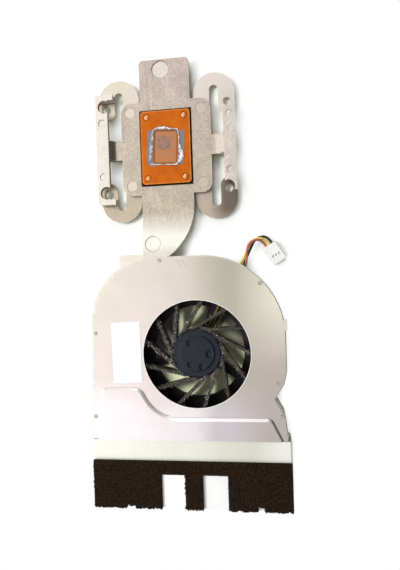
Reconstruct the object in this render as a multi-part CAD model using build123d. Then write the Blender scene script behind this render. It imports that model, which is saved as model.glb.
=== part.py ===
from build123d import *
import os
from math import acos, atan2, cos, degrees, pi, radians, sin, sqrt, tan

# A laptop processor cooler with a blower fan, in millimetres. The origin is on the fan axis in the plane of
# the underside, +Y runs towards the processor plate and +Z points up through the fan's inlet.

# Fan casing, measured from the fan axis
scroll_left = 39.9
scroll_top = 36.7
scroll_right = 33.0
left_corner_radius = 24.7
cover_corner_radius = 26.4
right_corner_radius = 30.3
outlet_distance = 32.0
outlet_flare = 1.4
notch_y = -16.7
notch_depth = 4.5
notch_lead = 10.2
notch_upper = (1.05, 5.4)
notch_lower = (0.95, -6.2)
notch_rounding = (4.0, 2.0, 0.8, 3.0)
floor_thickness = 1.6
wall_height = 9.0
wall_thickness = 1.2

# Staked pips that hold the cover on the scroll wall
pip_inset = 1.4
pip_radius = 0.6
pip_stand = 0.2
pip_clearance = 0.15
pip_boss_radius = 1.2
pip_top_x = -12.7
pip_corner_angle = 42
pip_left_drop = 3.6
pip_outlet_inset = 8.6
pip_notch_places = ((3.3, 5.8), (2.25, -6.4))

# Fan cover
cover_thickness = 0.5
cover_margin = 0.4
inlet_radius = 20.15
outlet_raise = 1.2
press_slope = 0.75
raise_left = 36.5
raise_top = 12.9
raise_shoulder = 24.3
raise_inner_radius = 4.0
raise_outer_radius = 15.1
raise_turn = 66.4
raise_right = 26.6
raise_spread = 3.0
raise_corner = 2.0
clip_y = 10.1
clip_length = 4.0
clip_drop = 2.0
label_size = (11.1, 23.0)
label_centre = (-26.6, 1.0)
label_tilt = 0.8
label_thickness = 0.1

# Fin outlet
fin_left = 40.9
fin_right = 34.0
fin_length = 25.3
fin_pitch = 1.65
fin_thickness = 0.3
fin_sheet = 0.5
fin_lap = 2.0
fin_lap_inset = 5.5
fin_bend_radius = 0.8
foam_depth = 17.8
foam_thickness = 1.5
foam_overhang = 0.3
foam_cut_height = 13.0
foam_cut_left = (-14.5, -5.6)
foam_cut_right = (1.1, 10.4)
foam_nick = 0.9
foam_nick_places = (-26.5, 22.3)

# Heat pipe, flattened and set flush in the underside
pipe_width = 8.0
pipe_height = 2.4
pipe_clearance = 0.1
pipe_bend = 48.0
pipe_fin_bend = 14.0
pipe_fan_radius = 34.4
pipe_end_gap = 4.0
lane_wall = 0.8
lane_roof = 0.9

# Processor plate
block_x = -9.7
block_y = 78.65
plate_underside = 2.3
plate_thickness = 2.0
plate_width = 34.7
plate_length = 35.6
plate_corner = 3.9
tab_width = 19.3
tab_end = 33.6
tab_corner = 1.6
neck_width = 20.2
neck_bend = 25.2
neck_turn = 52.0
neck_start = 21.6
neck_slope_start = 27.0
neck_rise = 2.7
lug_width = 10.1
lug_reach = 1.4
lug_depth = 6.0
mark_depth = 0.3
tab_mark_radius = 3.3
tab_mark_inset = 3.8
tab_mark_aside = 1.4
neck_mark_radius = 3.0
neck_mark_place = (-15.9, 41.9)

# Copper pad and what is left of the thermal pad on it
pad_width = 19.0
pad_length = 27.8
pad_thickness = 1.6
pad_corner = 1.2
pad_sink = 0.9
pad_gap = 0.5
pad_groove = 0.4
pad_rivet_radius = 0.6
pad_rivet_head = 0.95
pad_rivet_dome = 0.25
pad_rivet_inset = 2.3
pad_rivet_depth = 0.7
residue_size = (14.4, 15.0)
residue_tilt = -3.5
residue_thickness = 0.12
die_size = (9.4, 12.9)

# Spring plates under the ears, and the rivets that hold them
spring_thickness = 0.5
spring_half_width = 8.0
spring_length = 55.3
slot_width = 3.4
slot_length = 46.0
hole_spacing_x = 47.0
hole_spacing_y = 33.0
hole_radius = 1.5
eye_reach = 1.2
rivet_spacing_x = 27.6
rivet_spacing_y = 28.2
rivet_radius = 1.2
rivet_head_radius = 2.0
rivet_head = 0.6
rivet_sink = 0.12
rivet_foot = 0.6

# Raised side bars over the spring plates
bar_offset = 24.5
bar_width = 4.6
bar_rise = 2.0
bar_thickness = 2.0
bar_corner = 0.9
left_bar_length = 42.1
right_bar_top = 13.5
right_bar_bottom = 17.8
hook_reach = 2.2
hook_arm = 2.0
hook_notch = 2.45
hook_clearance = 0.25
link_width = 7.5
link_slope = 1.9
link_overlap = 1.0
bar_mark_radius = 1.5
bar_mark_y = 10.3

# Fan motor
bracket_radius = 23.4
bracket_inner = 20.4
window_radius = 17.7
bracket_flange = 0.8
bracket_clearance = 0.1
spoke_width = 3.0
spoke_angles = (70, 195, 327)
seat_radius = 8.8
spoke_overlap = 1.0
boss_outer = 3.2
boss_stand = 0.5
boss_roof_gap = 0.5
bearing_radius = 2.5
bearing_clearance = 0.02
thrust_radius = 1.5
thrust_thickness = 0.3
thrust_floor = 0.6
shaft_radius = 1.0
shaft_end_gap = 0.05
shaft_seat = 0.8
board_radius = 8.3
board_thickness = 0.6
core_radius = 6.3
core_hub = 4.3
core_stand = 0.8
pole_width = 1.8
pole_tip = 0.8
pole_count = 4
coil_build = 0.45
air_gap = 0.35
magnet_thickness = 1.0
magnet_inset = 0.3
yoke_thickness = 0.5
rotor_clearance = 0.6
screw_radius = 0.8
screw_head_radius = 1.4
screw_head = 0.5
screw_circle = 21.9
screw_angles = (10, 130, 250)

# Impeller
hub_radius = 9.45
hub_recess = 1.0
hub_roof = 1.4
hub_rim = 0.9
hub_rim_drop = 0.5
hub_step_radius = 6.6
hub_step = 0.35
hub_step_bevel = 0.25
hub_pocket_depth = 0.5
hub_pockets = ((-2.6, 3.9, 1.0), (4.8, -0.3, 1.3), (-2.6, -4.2, 1.0), (1.8, -5.1, 1.0))
blade_count = 13
blade_tangent = 8.8
blade_radius = 27.0
blade_root = 1.1
blade_tip = 0.8
blade_clearance = 0.9
blade_step = 0.2
blade_phase = 84.5

# Leads, from the motor board under the blades and out through the wall to the connector
lead_diameter = 0.95
lead_arc_share = 0.45
lead_angle = 61
lead_gate = (5.0, 1.6)
lead_routes = {
    "lead_yellow": [(3.1, 7.95, 2.1), (8.4, 17.2, 2.1), (14.2, 28.0, 2.1), (17.6, 33.8, 2.2),
                    (19.8, 38.3, 2.8), (21.5, 41.5, 3.5), (24.46, 42.74, 3.4), (26.93, 41.94, 2.1),
                    (28.12, 40.03, 1.6)],
    "lead_black": [(4.1, 7.4, 2.1), (9.6, 16.6, 2.1), (15.3, 27.4, 2.1), (18.5, 33.2, 2.1), (21.0, 38.6, 2.1),
                   (22.8, 42.1, 2.2), (25.5, 43.4, 2.1), (27.99, 42.6, 1.8), (29.18, 40.69, 1.6)],
    "lead_red": [(5.1, 6.85, 2.1), (10.8, 16.0, 2.1), (16.4, 26.8, 2.1), (19.4, 32.6, 2.6), (19.6, 37.2, 4.4),
                 (20.5, 40.7, 5.4), (23.4, 42.1, 4.8), (25.87, 41.28, 2.6), (27.06, 39.37, 1.7)],
}

# Lead connector, lying on the table
connector_size = (5.4, 7.4, 3.2)
connector_back = (28.2, 39.9)
connector_turn = -148.0
connector_pitch = 1.25
connector_ways = 3
connector_window = (0.75, 1.1)
connector_window_from_back = 4.6
connector_window_depth = 0.8
contact_width = 0.55
contact_height = 0.6
connector_corner = 0.3

# Levels and places that follow from the sizes above
cover_top = wall_height + cover_thickness
raised_top = cover_top + outlet_raise
fin_cover_top = raised_top - cover_thickness
fin_roof = fin_cover_top - fin_sheet
fin_end = -outlet_distance - fin_length
lane_width = pipe_width + 2 * pipe_clearance + 2 * lane_wall
channel_height = pipe_height + pipe_clearance
lane_top = channel_height + lane_roof
plate_top = plate_underside + plate_thickness
plate_end = block_y - plate_length / 2
pad_seat = plate_top - pad_sink
pad_top = pad_seat + pad_thickness
spring_underside = plate_underside - spring_thickness
eye_radius = (2 * spring_half_width - slot_width) / 4
spring_offset = hole_spacing_x / 2 - slot_width / 2 - eye_radius
bar_top = plate_top + bar_rise
bar_underside = bar_top - bar_thickness
right_corner = Vector(scroll_right - right_corner_radius, scroll_top - right_corner_radius)
neck_right = block_x + neck_width / 2
neck_left = block_x - neck_width / 2
neck_arc_top = block_y - neck_start
magnet_radius = core_radius + air_gap + magnet_thickness
yoke_radius = magnet_radius + yoke_thickness
board_top = floor_thickness + board_thickness
hub_top = wall_height - hub_recess
hub_low = board_top + rotor_clearance
yoke_top = hub_top - hub_roof
yoke_roof = yoke_top - yoke_thickness
boss_top = yoke_roof - boss_roof_gap
core_low = board_top + core_stand
core_top = boss_top - boss_stand
blade_low = floor_thickness + screw_head + blade_clearance
blade_high = hub_top - blade_step
thrust_top = thrust_floor + thrust_thickness
neck_foot = scroll_top - 2 * wall_thickness
neck_slope_y = block_y - neck_slope_start
neck_slope_run = neck_slope_y - neck_foot
block = Pos(block_x, block_y)


def prism(face, low, high):
    """A plan outline pulled up from one level to another."""
    return extrude(Pos(0, 0, low) * face, amount=high - low)


def span(x_low, x_high, y_low, y_high):
    """A plan rectangle between two pairs of edges."""
    return Pos((x_low + x_high) / 2, (y_low + y_high) / 2) * Rectangle(x_high - x_low, y_high - y_low)


def polar(radius, angle):
    """A plan place at a distance and a bearing from a centre."""
    return Pos(radius * cos(radians(angle)), radius * sin(radians(angle)))


def beside_notch(place):
    """A plan place given by how far it is in from the right side and above the notch's deepest point."""
    return (scroll_right - place[0], notch_y + place[1])


def casing_plan(outlet, left_radius):
    """The scroll's outline, with its outlet edge at a chosen distance and the notch on its right."""
    left_foot = (-scroll_left - outlet_flare, -outlet)
    left_shoulder = (-scroll_left, scroll_top - left_radius)
    top_left = (left_radius - scroll_left, scroll_top)
    top_right = (right_corner.X, scroll_top)
    right_shoulder = (scroll_right, right_corner.Y)
    right_foot = (scroll_right, -outlet)
    notch = [beside_notch(place) for place in ((0, notch_lead), notch_upper, (notch_depth, 0), notch_lower)]
    edge = Line(left_foot, left_shoulder)
    edge += RadiusArc(left_shoulder, top_left, left_radius)
    edge += Line(top_left, top_right)
    edge += RadiusArc(top_right, right_shoulder, right_corner_radius)
    edge += Polyline(right_shoulder, *notch, right_foot, left_foot)
    face = make_face(edge)
    for place, radius in zip(notch, notch_rounding):
        face = fillet(face.vertices().sort_by_distance(place)[0], radius)
    return face


def pip_places():
    """Where the wall's staked pips come through the cover."""
    shoulder = scroll_top - left_corner_radius
    outlet_y = pip_outlet_inset - outlet_distance
    flare = outlet_flare * (shoulder - outlet_y) / (shoulder + outlet_distance)
    corner = Pos(right_corner.X, right_corner.Y) * polar(right_corner_radius - pip_inset, pip_corner_angle)
    places = [
        Pos(pip_top_x, scroll_top - pip_inset),
        corner,
        Pos(pip_inset - scroll_left, shoulder - pip_left_drop),
        Pos(pip_inset - scroll_left - flare, outlet_y),
    ]
    return places + [Pos(*beside_notch(place)) for place in pip_notch_places]


def pipe_path(start, end_gap):
    """The centre line of the heat pipe, from under the tab, round the fan and along under the fins."""
    fin_row = -outlet_distance - fin_length / 2
    swing = acos((pipe_bend - block_x) / (pipe_bend + pipe_fan_radius))
    bend_top = (pipe_bend + pipe_fan_radius) * sin(swing)
    down_neck = Line((block_x, start), (block_x, bend_top))
    aside = JernArc(down_neck @ 1, down_neck % 1, pipe_bend, -degrees(swing))
    round_fan = JernArc(aside @ 1, aside % 1, pipe_fan_radius, degrees(swing))
    down_side = Line(round_fan @ 1, (-pipe_fan_radius, fin_row + pipe_fin_bend))
    corner = JernArc(down_side @ 1, down_side % 1, pipe_fin_bend, 90)
    under_fins = Line(corner @ 1, (fin_right - end_gap, fin_row))
    return Wire([down_neck, aside, round_fan, down_side, corner, under_fins])


def heat_pipe():
    """A round copper pipe pressed flat, with rounded long edges and closed ends."""
    path = pipe_path(block_y + tab_end - pipe_end_gap, pipe_end_gap)
    section = Plane(path @ 0, z_dir=path % 0, x_dir=(1, 0, 0)) * SlotOverall(pipe_width, pipe_height)
    return Pos(0, 0, pipe_height / 2) * sweep(section, path)


def neck_plan():
    """The neck between the processor plate and the scroll, with its rounded right side."""
    arc_end_x = neck_right - neck_bend * (1 - cos(radians(neck_turn)))
    arc_end_y = neck_arc_top - neck_bend * sin(radians(neck_turn))
    foot_x = arc_end_x - (arc_end_y - neck_foot) * tan(radians(neck_turn))
    edge = Line((neck_left, neck_foot), (neck_left, plate_end + plate_corner))
    edge += Line((neck_left, plate_end + plate_corner), (neck_right, plate_end + plate_corner))
    edge += Line((neck_right, plate_end + plate_corner), (neck_right, neck_arc_top))
    edge += RadiusArc((neck_right, neck_arc_top), (arc_end_x, arc_end_y), neck_bend)
    edge += Line((arc_end_x, arc_end_y), (foot_x, neck_foot))
    edge += Line((foot_x, neck_foot), (neck_left, neck_foot))
    return make_face(edge)


def neck_side(low_start, low_end):
    """The neck seen from the side: level at the plate, then rising to the scroll wall."""
    profile = Polyline(
        (plate_end + plate_corner, low_start),
        (plate_end + plate_corner, plate_top),
        (neck_slope_y, plate_top),
        (neck_foot, plate_top + neck_rise),
        (neck_foot, low_end),
        (neck_slope_y, low_start),
        close=True,
    )
    face = Plane.YZ * make_face(profile)
    return Pos(neck_left - wall_thickness, 0, 0) * extrude(face, amount=neck_width + 2 * wall_thickness)


def neck_mark():
    """The round ejector mark pressed into the neck's slope."""
    level = plate_top + neck_rise * (neck_slope_y - neck_mark_place[1]) / neck_slope_run
    lean = degrees(atan2(neck_rise, neck_slope_run))
    return Pos(*neck_mark_place, level) * Rot(-lean, 0, 0) * Cylinder(neck_mark_radius, 2 * mark_depth)


def side_bar(side):
    """One raised bar beside the processor plate, with its ends shaped round the spring screws."""
    centre = side * bar_offset
    hole = side * hole_spacing_x / 2
    if side < 0:
        low, high = -left_bar_length / 2, left_bar_length / 2
        reach = bar_width / 2 + hook_reach
        arms = [span(centre - bar_width / 2, centre + reach, high - hook_arm, high),
                span(centre - bar_width / 2, centre + reach, low, low + hook_arm)]
    else:
        low, high = -right_bar_bottom, right_bar_top
        arms = []
    plan = span(centre - bar_width / 2, centre + bar_width / 2, low, high)
    for arm in arms:
        plan += arm
    if arms:
        plan = fillet(plan.vertices().group_by(Axis.X)[0], bar_corner)
    for y in (-hole_spacing_y / 2, hole_spacing_y / 2):
        plan -= Pos(hole, y) * Circle(hook_notch)
    bar = prism(plan, bar_underside, bar_top)
    hook_low = plate_underside + hook_clearance
    for arm in arms:
        bar += prism(arm, hook_low, bar_underside) & prism(plan, hook_low, bar_underside)
    for y in (-bar_mark_y, bar_mark_y):
        bar -= prism(Pos(centre, y) * Circle(bar_mark_radius), bar_top - mark_depth, bar_top)
    return block * (bar + side_link(side))


def side_link(side):
    """The short tab that steps up from an ear to its side bar."""
    ear = side * (plate_width / 2 - link_overlap)
    inner = side * (bar_offset - bar_width / 2)
    under = inner + side * link_slope
    profile = Polyline(
        (ear, plate_underside),
        (ear, plate_top),
        (inner - side * link_slope, plate_top),
        (inner, bar_top),
        (under, bar_top),
        (under, plate_underside),
        close=True,
    )
    face = Plane.XZ * make_face(profile)
    return extrude(face, amount=link_width / 2, both=True)


def processor_plate():
    """Plate, ears, tab and side bars, with the rivets' counterbores."""
    ears = RectangleRounded(plate_width, plate_length, plate_corner)
    tab_length = tab_end - plate_length / 2 + plate_corner
    tab = Pos(0, tab_end - tab_length / 2) * RectangleRounded(tab_width, tab_length, tab_corner)
    plate = block * prism(ears + tab, plate_underside, plate_top)
    plate += side_bar(-1)
    plate += side_bar(1)
    for place in GridLocations(rivet_spacing_x, rivet_spacing_y, 2, 2):
        plate -= block * place * prism(Circle(rivet_head_radius), plate_top - rivet_head, plate_top)
        plate -= block * place * prism(Circle(rivet_radius), plate_underside, plate_top)
    mark = Pos(-tab_mark_aside, tab_end - tab_mark_inset) * Circle(tab_mark_radius)
    return plate - block * prism(mark, plate_top - mark_depth, plate_top)


def pad_pocket():
    """The sunk seat of the copper pad, with a deeper groove round its edge."""
    outline = RectangleRounded(pad_width + 2 * pad_gap, pad_length + 2 * pad_gap, pad_corner + pad_gap)
    groove = outline - RectangleRounded(pad_width, pad_length, pad_corner)
    return block * (prism(outline, pad_seat, plate_top) + prism(groove, pad_seat - pad_groove, pad_seat))


def heatsink_casting():
    """The die-cast frame: processor plate, neck, fan floor with its wall, and the deck under the fins."""
    floor = casing_plan(outlet_distance, left_corner_radius)
    casting = prism(floor, 0, wall_height)
    cavity = casing_plan(outlet_distance + 4 * wall_thickness, cover_corner_radius)
    cavity = offset(cavity, amount=-wall_thickness)
    casting -= prism(cavity, floor_thickness, wall_height)
    lug = span(neck_left - lug_width, neck_left, scroll_top - lug_depth, scroll_top + lug_reach)
    casting += prism(lug - cavity, 0, lane_top)
    for place in pip_places():
        casting += place * prism(Circle(pip_boss_radius), 0, wall_height)
        casting += place * prism(Circle(pip_radius), wall_height, cover_top + pip_stand)
    deck = span(fin_sheet - fin_left, fin_right - fin_sheet, fin_end, -outlet_distance)
    casting += prism(deck, 0, lane_top)
    neck = neck_plan()
    casting += prism(neck, 0, plate_top + neck_rise) & neck_side(plate_underside, neck_rise + plate_underside)
    casting += processor_plate()
    lane_start = block_y + tab_end - pipe_end_gap + pipe_clearance + lane_wall
    lane = trace(pipe_path(lane_start, pipe_end_gap - lane_wall), lane_width)
    casting += prism(lane, 0, lane_top)
    casting += prism(lane, 0, wall_height) & prism(neck, 0, wall_height) & neck_side(0, neck_rise)
    casting -= pad_pocket()
    channel_start = block_y + tab_end - pipe_end_gap + pipe_clearance
    channel = trace(pipe_path(channel_start, pipe_end_gap - pipe_clearance), pipe_width + 2 * pipe_clearance)
    casting -= prism(channel, 0, channel_height)
    casting -= prism(Circle(bracket_inner + bracket_clearance), 0, floor_thickness)
    ledge = floor_thickness - bracket_flange
    casting -= prism(Circle(bracket_radius + bracket_clearance), ledge, floor_thickness)
    for angle in screw_angles:
        casting -= polar(screw_circle, angle) * prism(Circle(screw_radius), 0, ledge)
    for place in pad_rivet_places():
        casting -= block * place * prism(Circle(pad_rivet_radius), pad_seat - pad_rivet_depth, pad_seat)
    gate = Pos(scroll_top, 0) * Rectangle(6 * wall_thickness, lead_gate[0])
    casting -= Rot(0, 0, lead_angle) * prism(gate, floor_thickness, floor_thickness + lead_gate[1])
    return casting - neck_mark()


def fan_cover():
    """Stamped cover with its round inlet and the pressed-up area that leads the air over the fins."""
    plan = casing_plan(outlet_distance + cover_margin, cover_corner_radius)
    plan = offset(plan, amount=-cover_margin)
    cover = prism(plan, wall_height, cover_top)
    raised = raised_plan()
    slope = outlet_raise / 2
    press = prism(offset(raised, amount=slope, kind=Kind.INTERSECTION), cover_top, raised_top)
    press = chamfer(press.edges().group_by(Axis.Z)[-1], press_slope * outlet_raise)
    front = prism(span(-2 * fin_left, 2 * fin_right, -outlet_distance, scroll_top), 0, 2 * raised_top)
    cover += press & front
    cover -= Pos(0, 0, -cover_thickness) * press
    cover -= prism(Circle(inlet_radius), wall_height, cover_top)
    for place in pip_places():
        cover -= place * prism(Circle(pip_radius + pip_clearance), wall_height, cover_top)
    clip_low, clip_high = clip_y - clip_length / 2, clip_y + clip_length / 2
    outer = scroll_right + cover_thickness
    cover += prism(span(scroll_right - 2 * cover_margin, outer, clip_low, clip_high), wall_height, cover_top)
    cover += prism(span(scroll_right, outer, clip_low, clip_high), cover_top - clip_drop, cover_top)
    return cover


def raised_plan():
    """The outline of the cover's raised area, run out past the outlet edge."""
    foot = -outlet_distance - 4 * outlet_raise
    top = Line((-raise_left, -raise_top), (-raise_shoulder, -raise_top))
    inner = JernArc(top @ 1, top % 1, raise_inner_radius, -raise_turn)
    outer = JernArc(inner @ 1, inner % 1, raise_outer_radius, raise_turn)
    low = (outer @ 1).Y
    edge = top + inner + outer
    edge += Polyline(
        outer @ 1,
        (raise_right, low),
        (raise_right + 2 * raise_spread, foot),
        (-raise_left - raise_spread, foot),
        (-raise_left, low),
        (-raise_left, -raise_top),
    )
    face = make_face(edge)
    sides = (-raise_left, raise_right)
    corners = face.vertices().filter_by(lambda v: min(abs(v.X - x) for x in sides) < 0.01)
    return fillet(corners, raise_corner)


def fin_stack():
    """One strip of sheet folded to and fro into upright fins between the deck and the fin cover."""
    inner_left = fin_sheet - fin_left
    inner_right = fin_right - fin_sheet
    count = 2 * int((inner_right - inner_left - fin_pitch) / fin_pitch / 2) + 1
    middle = (inner_left + inner_right) / 2
    height = fin_roof - lane_top
    web = Rectangle(fin_thickness, height)
    webs = Sketch() + [place * web for place in GridLocations(fin_pitch, 1, count, 1)]
    fold = Rectangle(fin_pitch + fin_thickness, fin_thickness)
    half = count // 2
    shift = fin_pitch / 2
    rise = (height - fin_thickness) / 2
    folds = [Pos(-shift, rise) * place * fold for place in GridLocations(2 * fin_pitch, 1, half, 1)]
    folds += [Pos(shift, -rise) * place * fold for place in GridLocations(2 * fin_pitch, 1, half, 1)]
    strip = Plane.XZ * (webs + folds)
    return Pos(middle, -outlet_distance, lane_top + height / 2) * extrude(strip, amount=fin_length)


def fin_cover():
    """Sheet folded down over both ends of the fins, with a tongue that laps under the fan cover."""
    width = fin_left + fin_right
    middle = (fin_right - fin_left) / 2
    outside = span(-width / 2, width / 2, fin_sheet, fin_cover_top)
    outside = fillet(outside.vertices().sort_by(Axis.Y)[2:], fin_bend_radius)
    inside = span(fin_sheet - width / 2, width / 2 - fin_sheet, 0, fin_roof)
    channel = extrude(Plane.XZ * (outside - inside), amount=fin_length)
    channel = Pos(middle, -outlet_distance, 0) * channel
    left, right = fin_lap_inset - fin_left, fin_right - fin_lap_inset
    tongue = span(left, right, -outlet_distance, fin_lap - outlet_distance)
    return channel + prism(tongue, fin_roof, fin_cover_top)


def foam_seal():
    """Foam strip on the fin cover, with two cut-outs and two nicks in its outer edge."""
    strip = span(-fin_left, fin_right, fin_end - foam_overhang, fin_end + foam_depth)
    for low, high in (foam_cut_left, foam_cut_right):
        strip -= span(low, high, fin_end - 2 * foam_overhang, fin_end + foam_cut_height)
    for x in foam_nick_places:
        strip -= Pos(x, fin_end - foam_overhang) * Circle(foam_nick)
    return prism(strip, fin_cover_top, fin_cover_top + foam_thickness)


def copper_pad():
    """Copper plate over the heat pipe, with a hole for a rivet near each corner."""
    plan = RectangleRounded(pad_width, pad_length, pad_corner)
    for place in pad_rivet_places():
        plan -= place * Circle(pad_rivet_radius)
    return block * prism(plan, pad_seat, pad_top)


def pad_rivet_places():
    """The four rivets of the copper pad, from its centre."""
    return GridLocations(pad_width - 2 * pad_rivet_inset, pad_length - 2 * pad_rivet_inset, 2, 2)


def pad_rivets():
    """Small domed copper rivets."""
    low = pad_seat - pad_rivet_depth
    ball = (pad_rivet_head ** 2 + pad_rivet_dome ** 2) / (2 * pad_rivet_dome)
    cap = Pos(0, 0, pad_top + pad_rivet_dome - ball) * Sphere(ball)
    cap = cap & prism(Circle(2 * pad_rivet_head), pad_top, pad_top + 2 * pad_rivet_dome)
    rivet = prism(Circle(pad_rivet_radius), low, pad_top) + cap
    return [block * place * rivet for place in pad_rivet_places()]


def thermal_pad():
    """What is left of the thermal pad: a thin frame squeezed out round the processor's die."""
    frame = Rectangle(*residue_size) - Rectangle(*die_size)
    return block * Rot(0, 0, residue_tilt) * prism(frame, pad_top, pad_top + residue_thickness)


def spring_plate(side):
    """Spring sheet riveted under an ear: two arms curl round a slot and end in eyes for the screws."""
    outside = SlotOverall(spring_length, 2 * spring_half_width, rotation=90)
    plan = outside - SlotOverall(slot_length, slot_width, rotation=90)
    gap = hole_spacing_y - 2 * eye_reach
    plan -= Pos(side * spring_half_width, 0) * Rectangle(2 * spring_half_width, gap)
    eye_x = side * (slot_width / 2 + eye_radius)
    for end in (-1, 1):
        plan += Pos(eye_x, end * (hole_spacing_y / 2 - eye_reach)) * Circle(eye_radius)
        plan -= Pos(eye_x, end * hole_spacing_y / 2) * Circle(hole_radius)
    plan = Pos(side * spring_offset, 0) * plan
    for place in GridLocations(rivet_spacing_x, rivet_spacing_y, 2, 2):
        plan -= place * Circle(rivet_radius)
    return block * prism(plan, spring_underside, plate_underside)


def spring_rivets():
    """Flat-headed rivets through the ears and the spring plates."""
    rivet = prism(Circle(rivet_head_radius), plate_top - rivet_head, plate_top - rivet_sink)
    rivet += prism(Circle(rivet_radius), spring_underside, plate_top - rivet_head)
    rivet += prism(Circle(rivet_head_radius), spring_underside - rivet_foot, spring_underside)
    return [block * place * rivet for place in GridLocations(rivet_spacing_x, rivet_spacing_y, 2, 2)]


def motor_bracket():
    """Black moulded ring in the fan floor, with spokes that carry the motor seat and its bearing boss."""
    ledge = floor_thickness - bracket_flange
    bracket = prism(Circle(bracket_inner), 0, ledge) + prism(Circle(bracket_radius), ledge, floor_thickness)
    bracket -= prism(Circle(window_radius), 0, floor_thickness)
    bracket += prism(Circle(seat_radius), 0, floor_thickness)
    length = window_radius - seat_radius + 2 * spoke_overlap
    spoke = Pos((window_radius + seat_radius) / 2, 0) * Rectangle(length, spoke_width)
    for angle in spoke_angles:
        bracket += Rot(0, 0, angle) * prism(spoke, 0, floor_thickness)
    bracket += prism(Circle(boss_outer), 0, boss_top)
    bracket -= prism(Circle(bearing_radius), thrust_top, boss_top)
    bracket -= prism(Circle(thrust_radius), thrust_floor, thrust_top)
    for angle in screw_angles:
        bracket -= polar(screw_circle, angle) * prism(Circle(screw_radius), ledge, floor_thickness)
    return bracket


def bracket_screws():
    """Pan-headed screws that hold the bracket's flange on the fan floor."""
    screw = prism(Circle(screw_radius), 0, floor_thickness)
    screw += prism(Circle(screw_head_radius), floor_thickness, floor_thickness + screw_head)
    return [polar(screw_circle, angle) * screw for angle in screw_angles]


def bearing_sleeve():
    """Plain sintered bearing pressed in the boss."""
    ring = Circle(bearing_radius) - Circle(shaft_radius + bearing_clearance)
    return prism(ring, thrust_top, boss_top)


def thrust_plate():
    """Wear disc that the shaft's end runs on."""
    return prism(Circle(thrust_radius), thrust_floor, thrust_top)


def motor_board():
    """Ring-shaped circuit board on the motor seat."""
    return prism(Circle(board_radius) - Circle(boss_outer), floor_thickness, board_top)


def stator_pole():
    """One stator pole that points along +X: its limb and its curved shoe."""
    limb_start = (boss_outer + core_hub) / 2
    limb = span(limb_start, core_radius - pole_tip / 2, -pole_width / 2, pole_width / 2)
    far = 2 * core_radius
    wedge = make_face(Polyline((0, 0), (far, -core_radius), (far, core_radius), close=True))
    shoe = prism(Circle(core_radius) - Circle(core_radius - pole_tip), core_low, core_top)
    return prism(limb, core_low, core_top) + (shoe & prism(wedge, core_low, core_top))


def stator_core():
    """Laminated stator pressed on the bearing boss."""
    core = prism(Circle(core_hub) - Circle(boss_outer), core_low, core_top)
    for k in range(pole_count):
        core += Rot(0, 0, 360 * k / pole_count) * stator_pole()
    return core


def stator_windings():
    """A coil wound round the limb of each pole."""
    inner, outer = core_hub + coil_build / 2, core_radius - pole_tip - coil_build / 2
    width = pole_width + 2 * coil_build
    outside = span(inner, outer, -width / 2, width / 2)
    coil = prism(outside, core_low - coil_build, core_top + coil_build)
    coil -= prism(span(inner, outer, -pole_width / 2, pole_width / 2), core_low, core_top)
    return [Rot(0, 0, 360 * k / pole_count) * coil for k in range(pole_count)]


def magnet_ring():
    """Ring magnet inside the yoke."""
    ring = Circle(magnet_radius) - Circle(magnet_radius - magnet_thickness)
    return prism(ring, hub_low + magnet_inset, yoke_roof)


def rotor_yoke():
    """Deep-drawn steel cup that carries the magnet, with a hole for the shaft."""
    cup = prism(Circle(yoke_radius), hub_low, yoke_top)
    cup -= prism(Circle(magnet_radius), hub_low, yoke_roof)
    return cup - prism(Circle(shaft_radius), hub_low, yoke_top)


def rotor_shaft():
    """Steel shaft, seated in the hub and running in the bearing."""
    return prism(Circle(shaft_radius), thrust_top + shaft_end_gap, yoke_top + shaft_seat)


def impeller():
    """Moulded hub with a stepped top, and straight blades that lean back from the turning direction."""
    shoulder = hub_top - hub_step
    profile = Polyline(
        (0, hub_low),
        (hub_radius, hub_low),
        (hub_radius, shoulder - hub_rim_drop),
        (hub_radius - hub_rim, shoulder),
        (hub_step_radius + hub_step_bevel, shoulder),
        (hub_step_radius, hub_top),
        (0, hub_top),
        close=True,
    )
    hub = revolve(Plane.XZ * make_face(profile), Axis.Z)
    for x, y, radius in hub_pockets:
        hub -= Pos(x, y) * prism(Circle(radius), hub_top - hub_pocket_depth, hub_top)
    start = sqrt(hub_radius ** 2 - blade_tangent ** 2) - blade_root
    end = sqrt(blade_radius ** 2 - blade_tangent ** 2)
    outline = Polyline(
        (start, blade_tangent - blade_root / 2),
        (end, blade_tangent - blade_tip / 2),
        (end, blade_tangent + blade_tip / 2),
        (start, blade_tangent + blade_root / 2),
        close=True,
    )
    blade = prism(make_face(outline), blade_low, blade_high)
    for k in range(blade_count):
        hub += Rot(0, 0, blade_phase - 360 * k / blade_count) * blade
    hub -= prism(Circle(yoke_radius), hub_low, yoke_top)
    return hub - prism(Circle(shaft_radius), yoke_top, yoke_top + shaft_seat)


def cover_label():
    """Bare paper label stuck on the cover."""
    paper = prism(Rectangle(*label_size), cover_top, cover_top + label_thickness)
    return Pos(*label_centre) * Rot(0, 0, label_tilt) * paper


def lead(name):
    """One insulated lead: straight runs joined by arcs as large as the runs allow."""
    points = [Vector(*p) for p in lead_routes[name]]
    radii = []
    for before, here, after in zip(points, points[1:], points[2:]):
        turn = (here - before).get_angle(after - here)
        shorter = min((here - before).length, (after - here).length)
        radii.append(lead_arc_share * shorter / tan(radians(turn / 2)))
    path = FilletPolyline(*points, radius=radii)
    section = Plane(path @ 0, z_dir=path % 0) * Circle(lead_diameter / 2)
    tube = sweep(section, path)
    share = tube.volume / (pi * lead_diameter ** 2 / 4 * path.length)
    figures = [round(value, 2) for value in (path.length, share, min(radii))]
    print(name, "length, volume share and least radius:", *figures)
    return tube


def connector_place():
    """The connector's back face: +Y points from the leads to the mating end."""
    return Pos(*connector_back) * Rot(0, 0, connector_turn)


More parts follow.
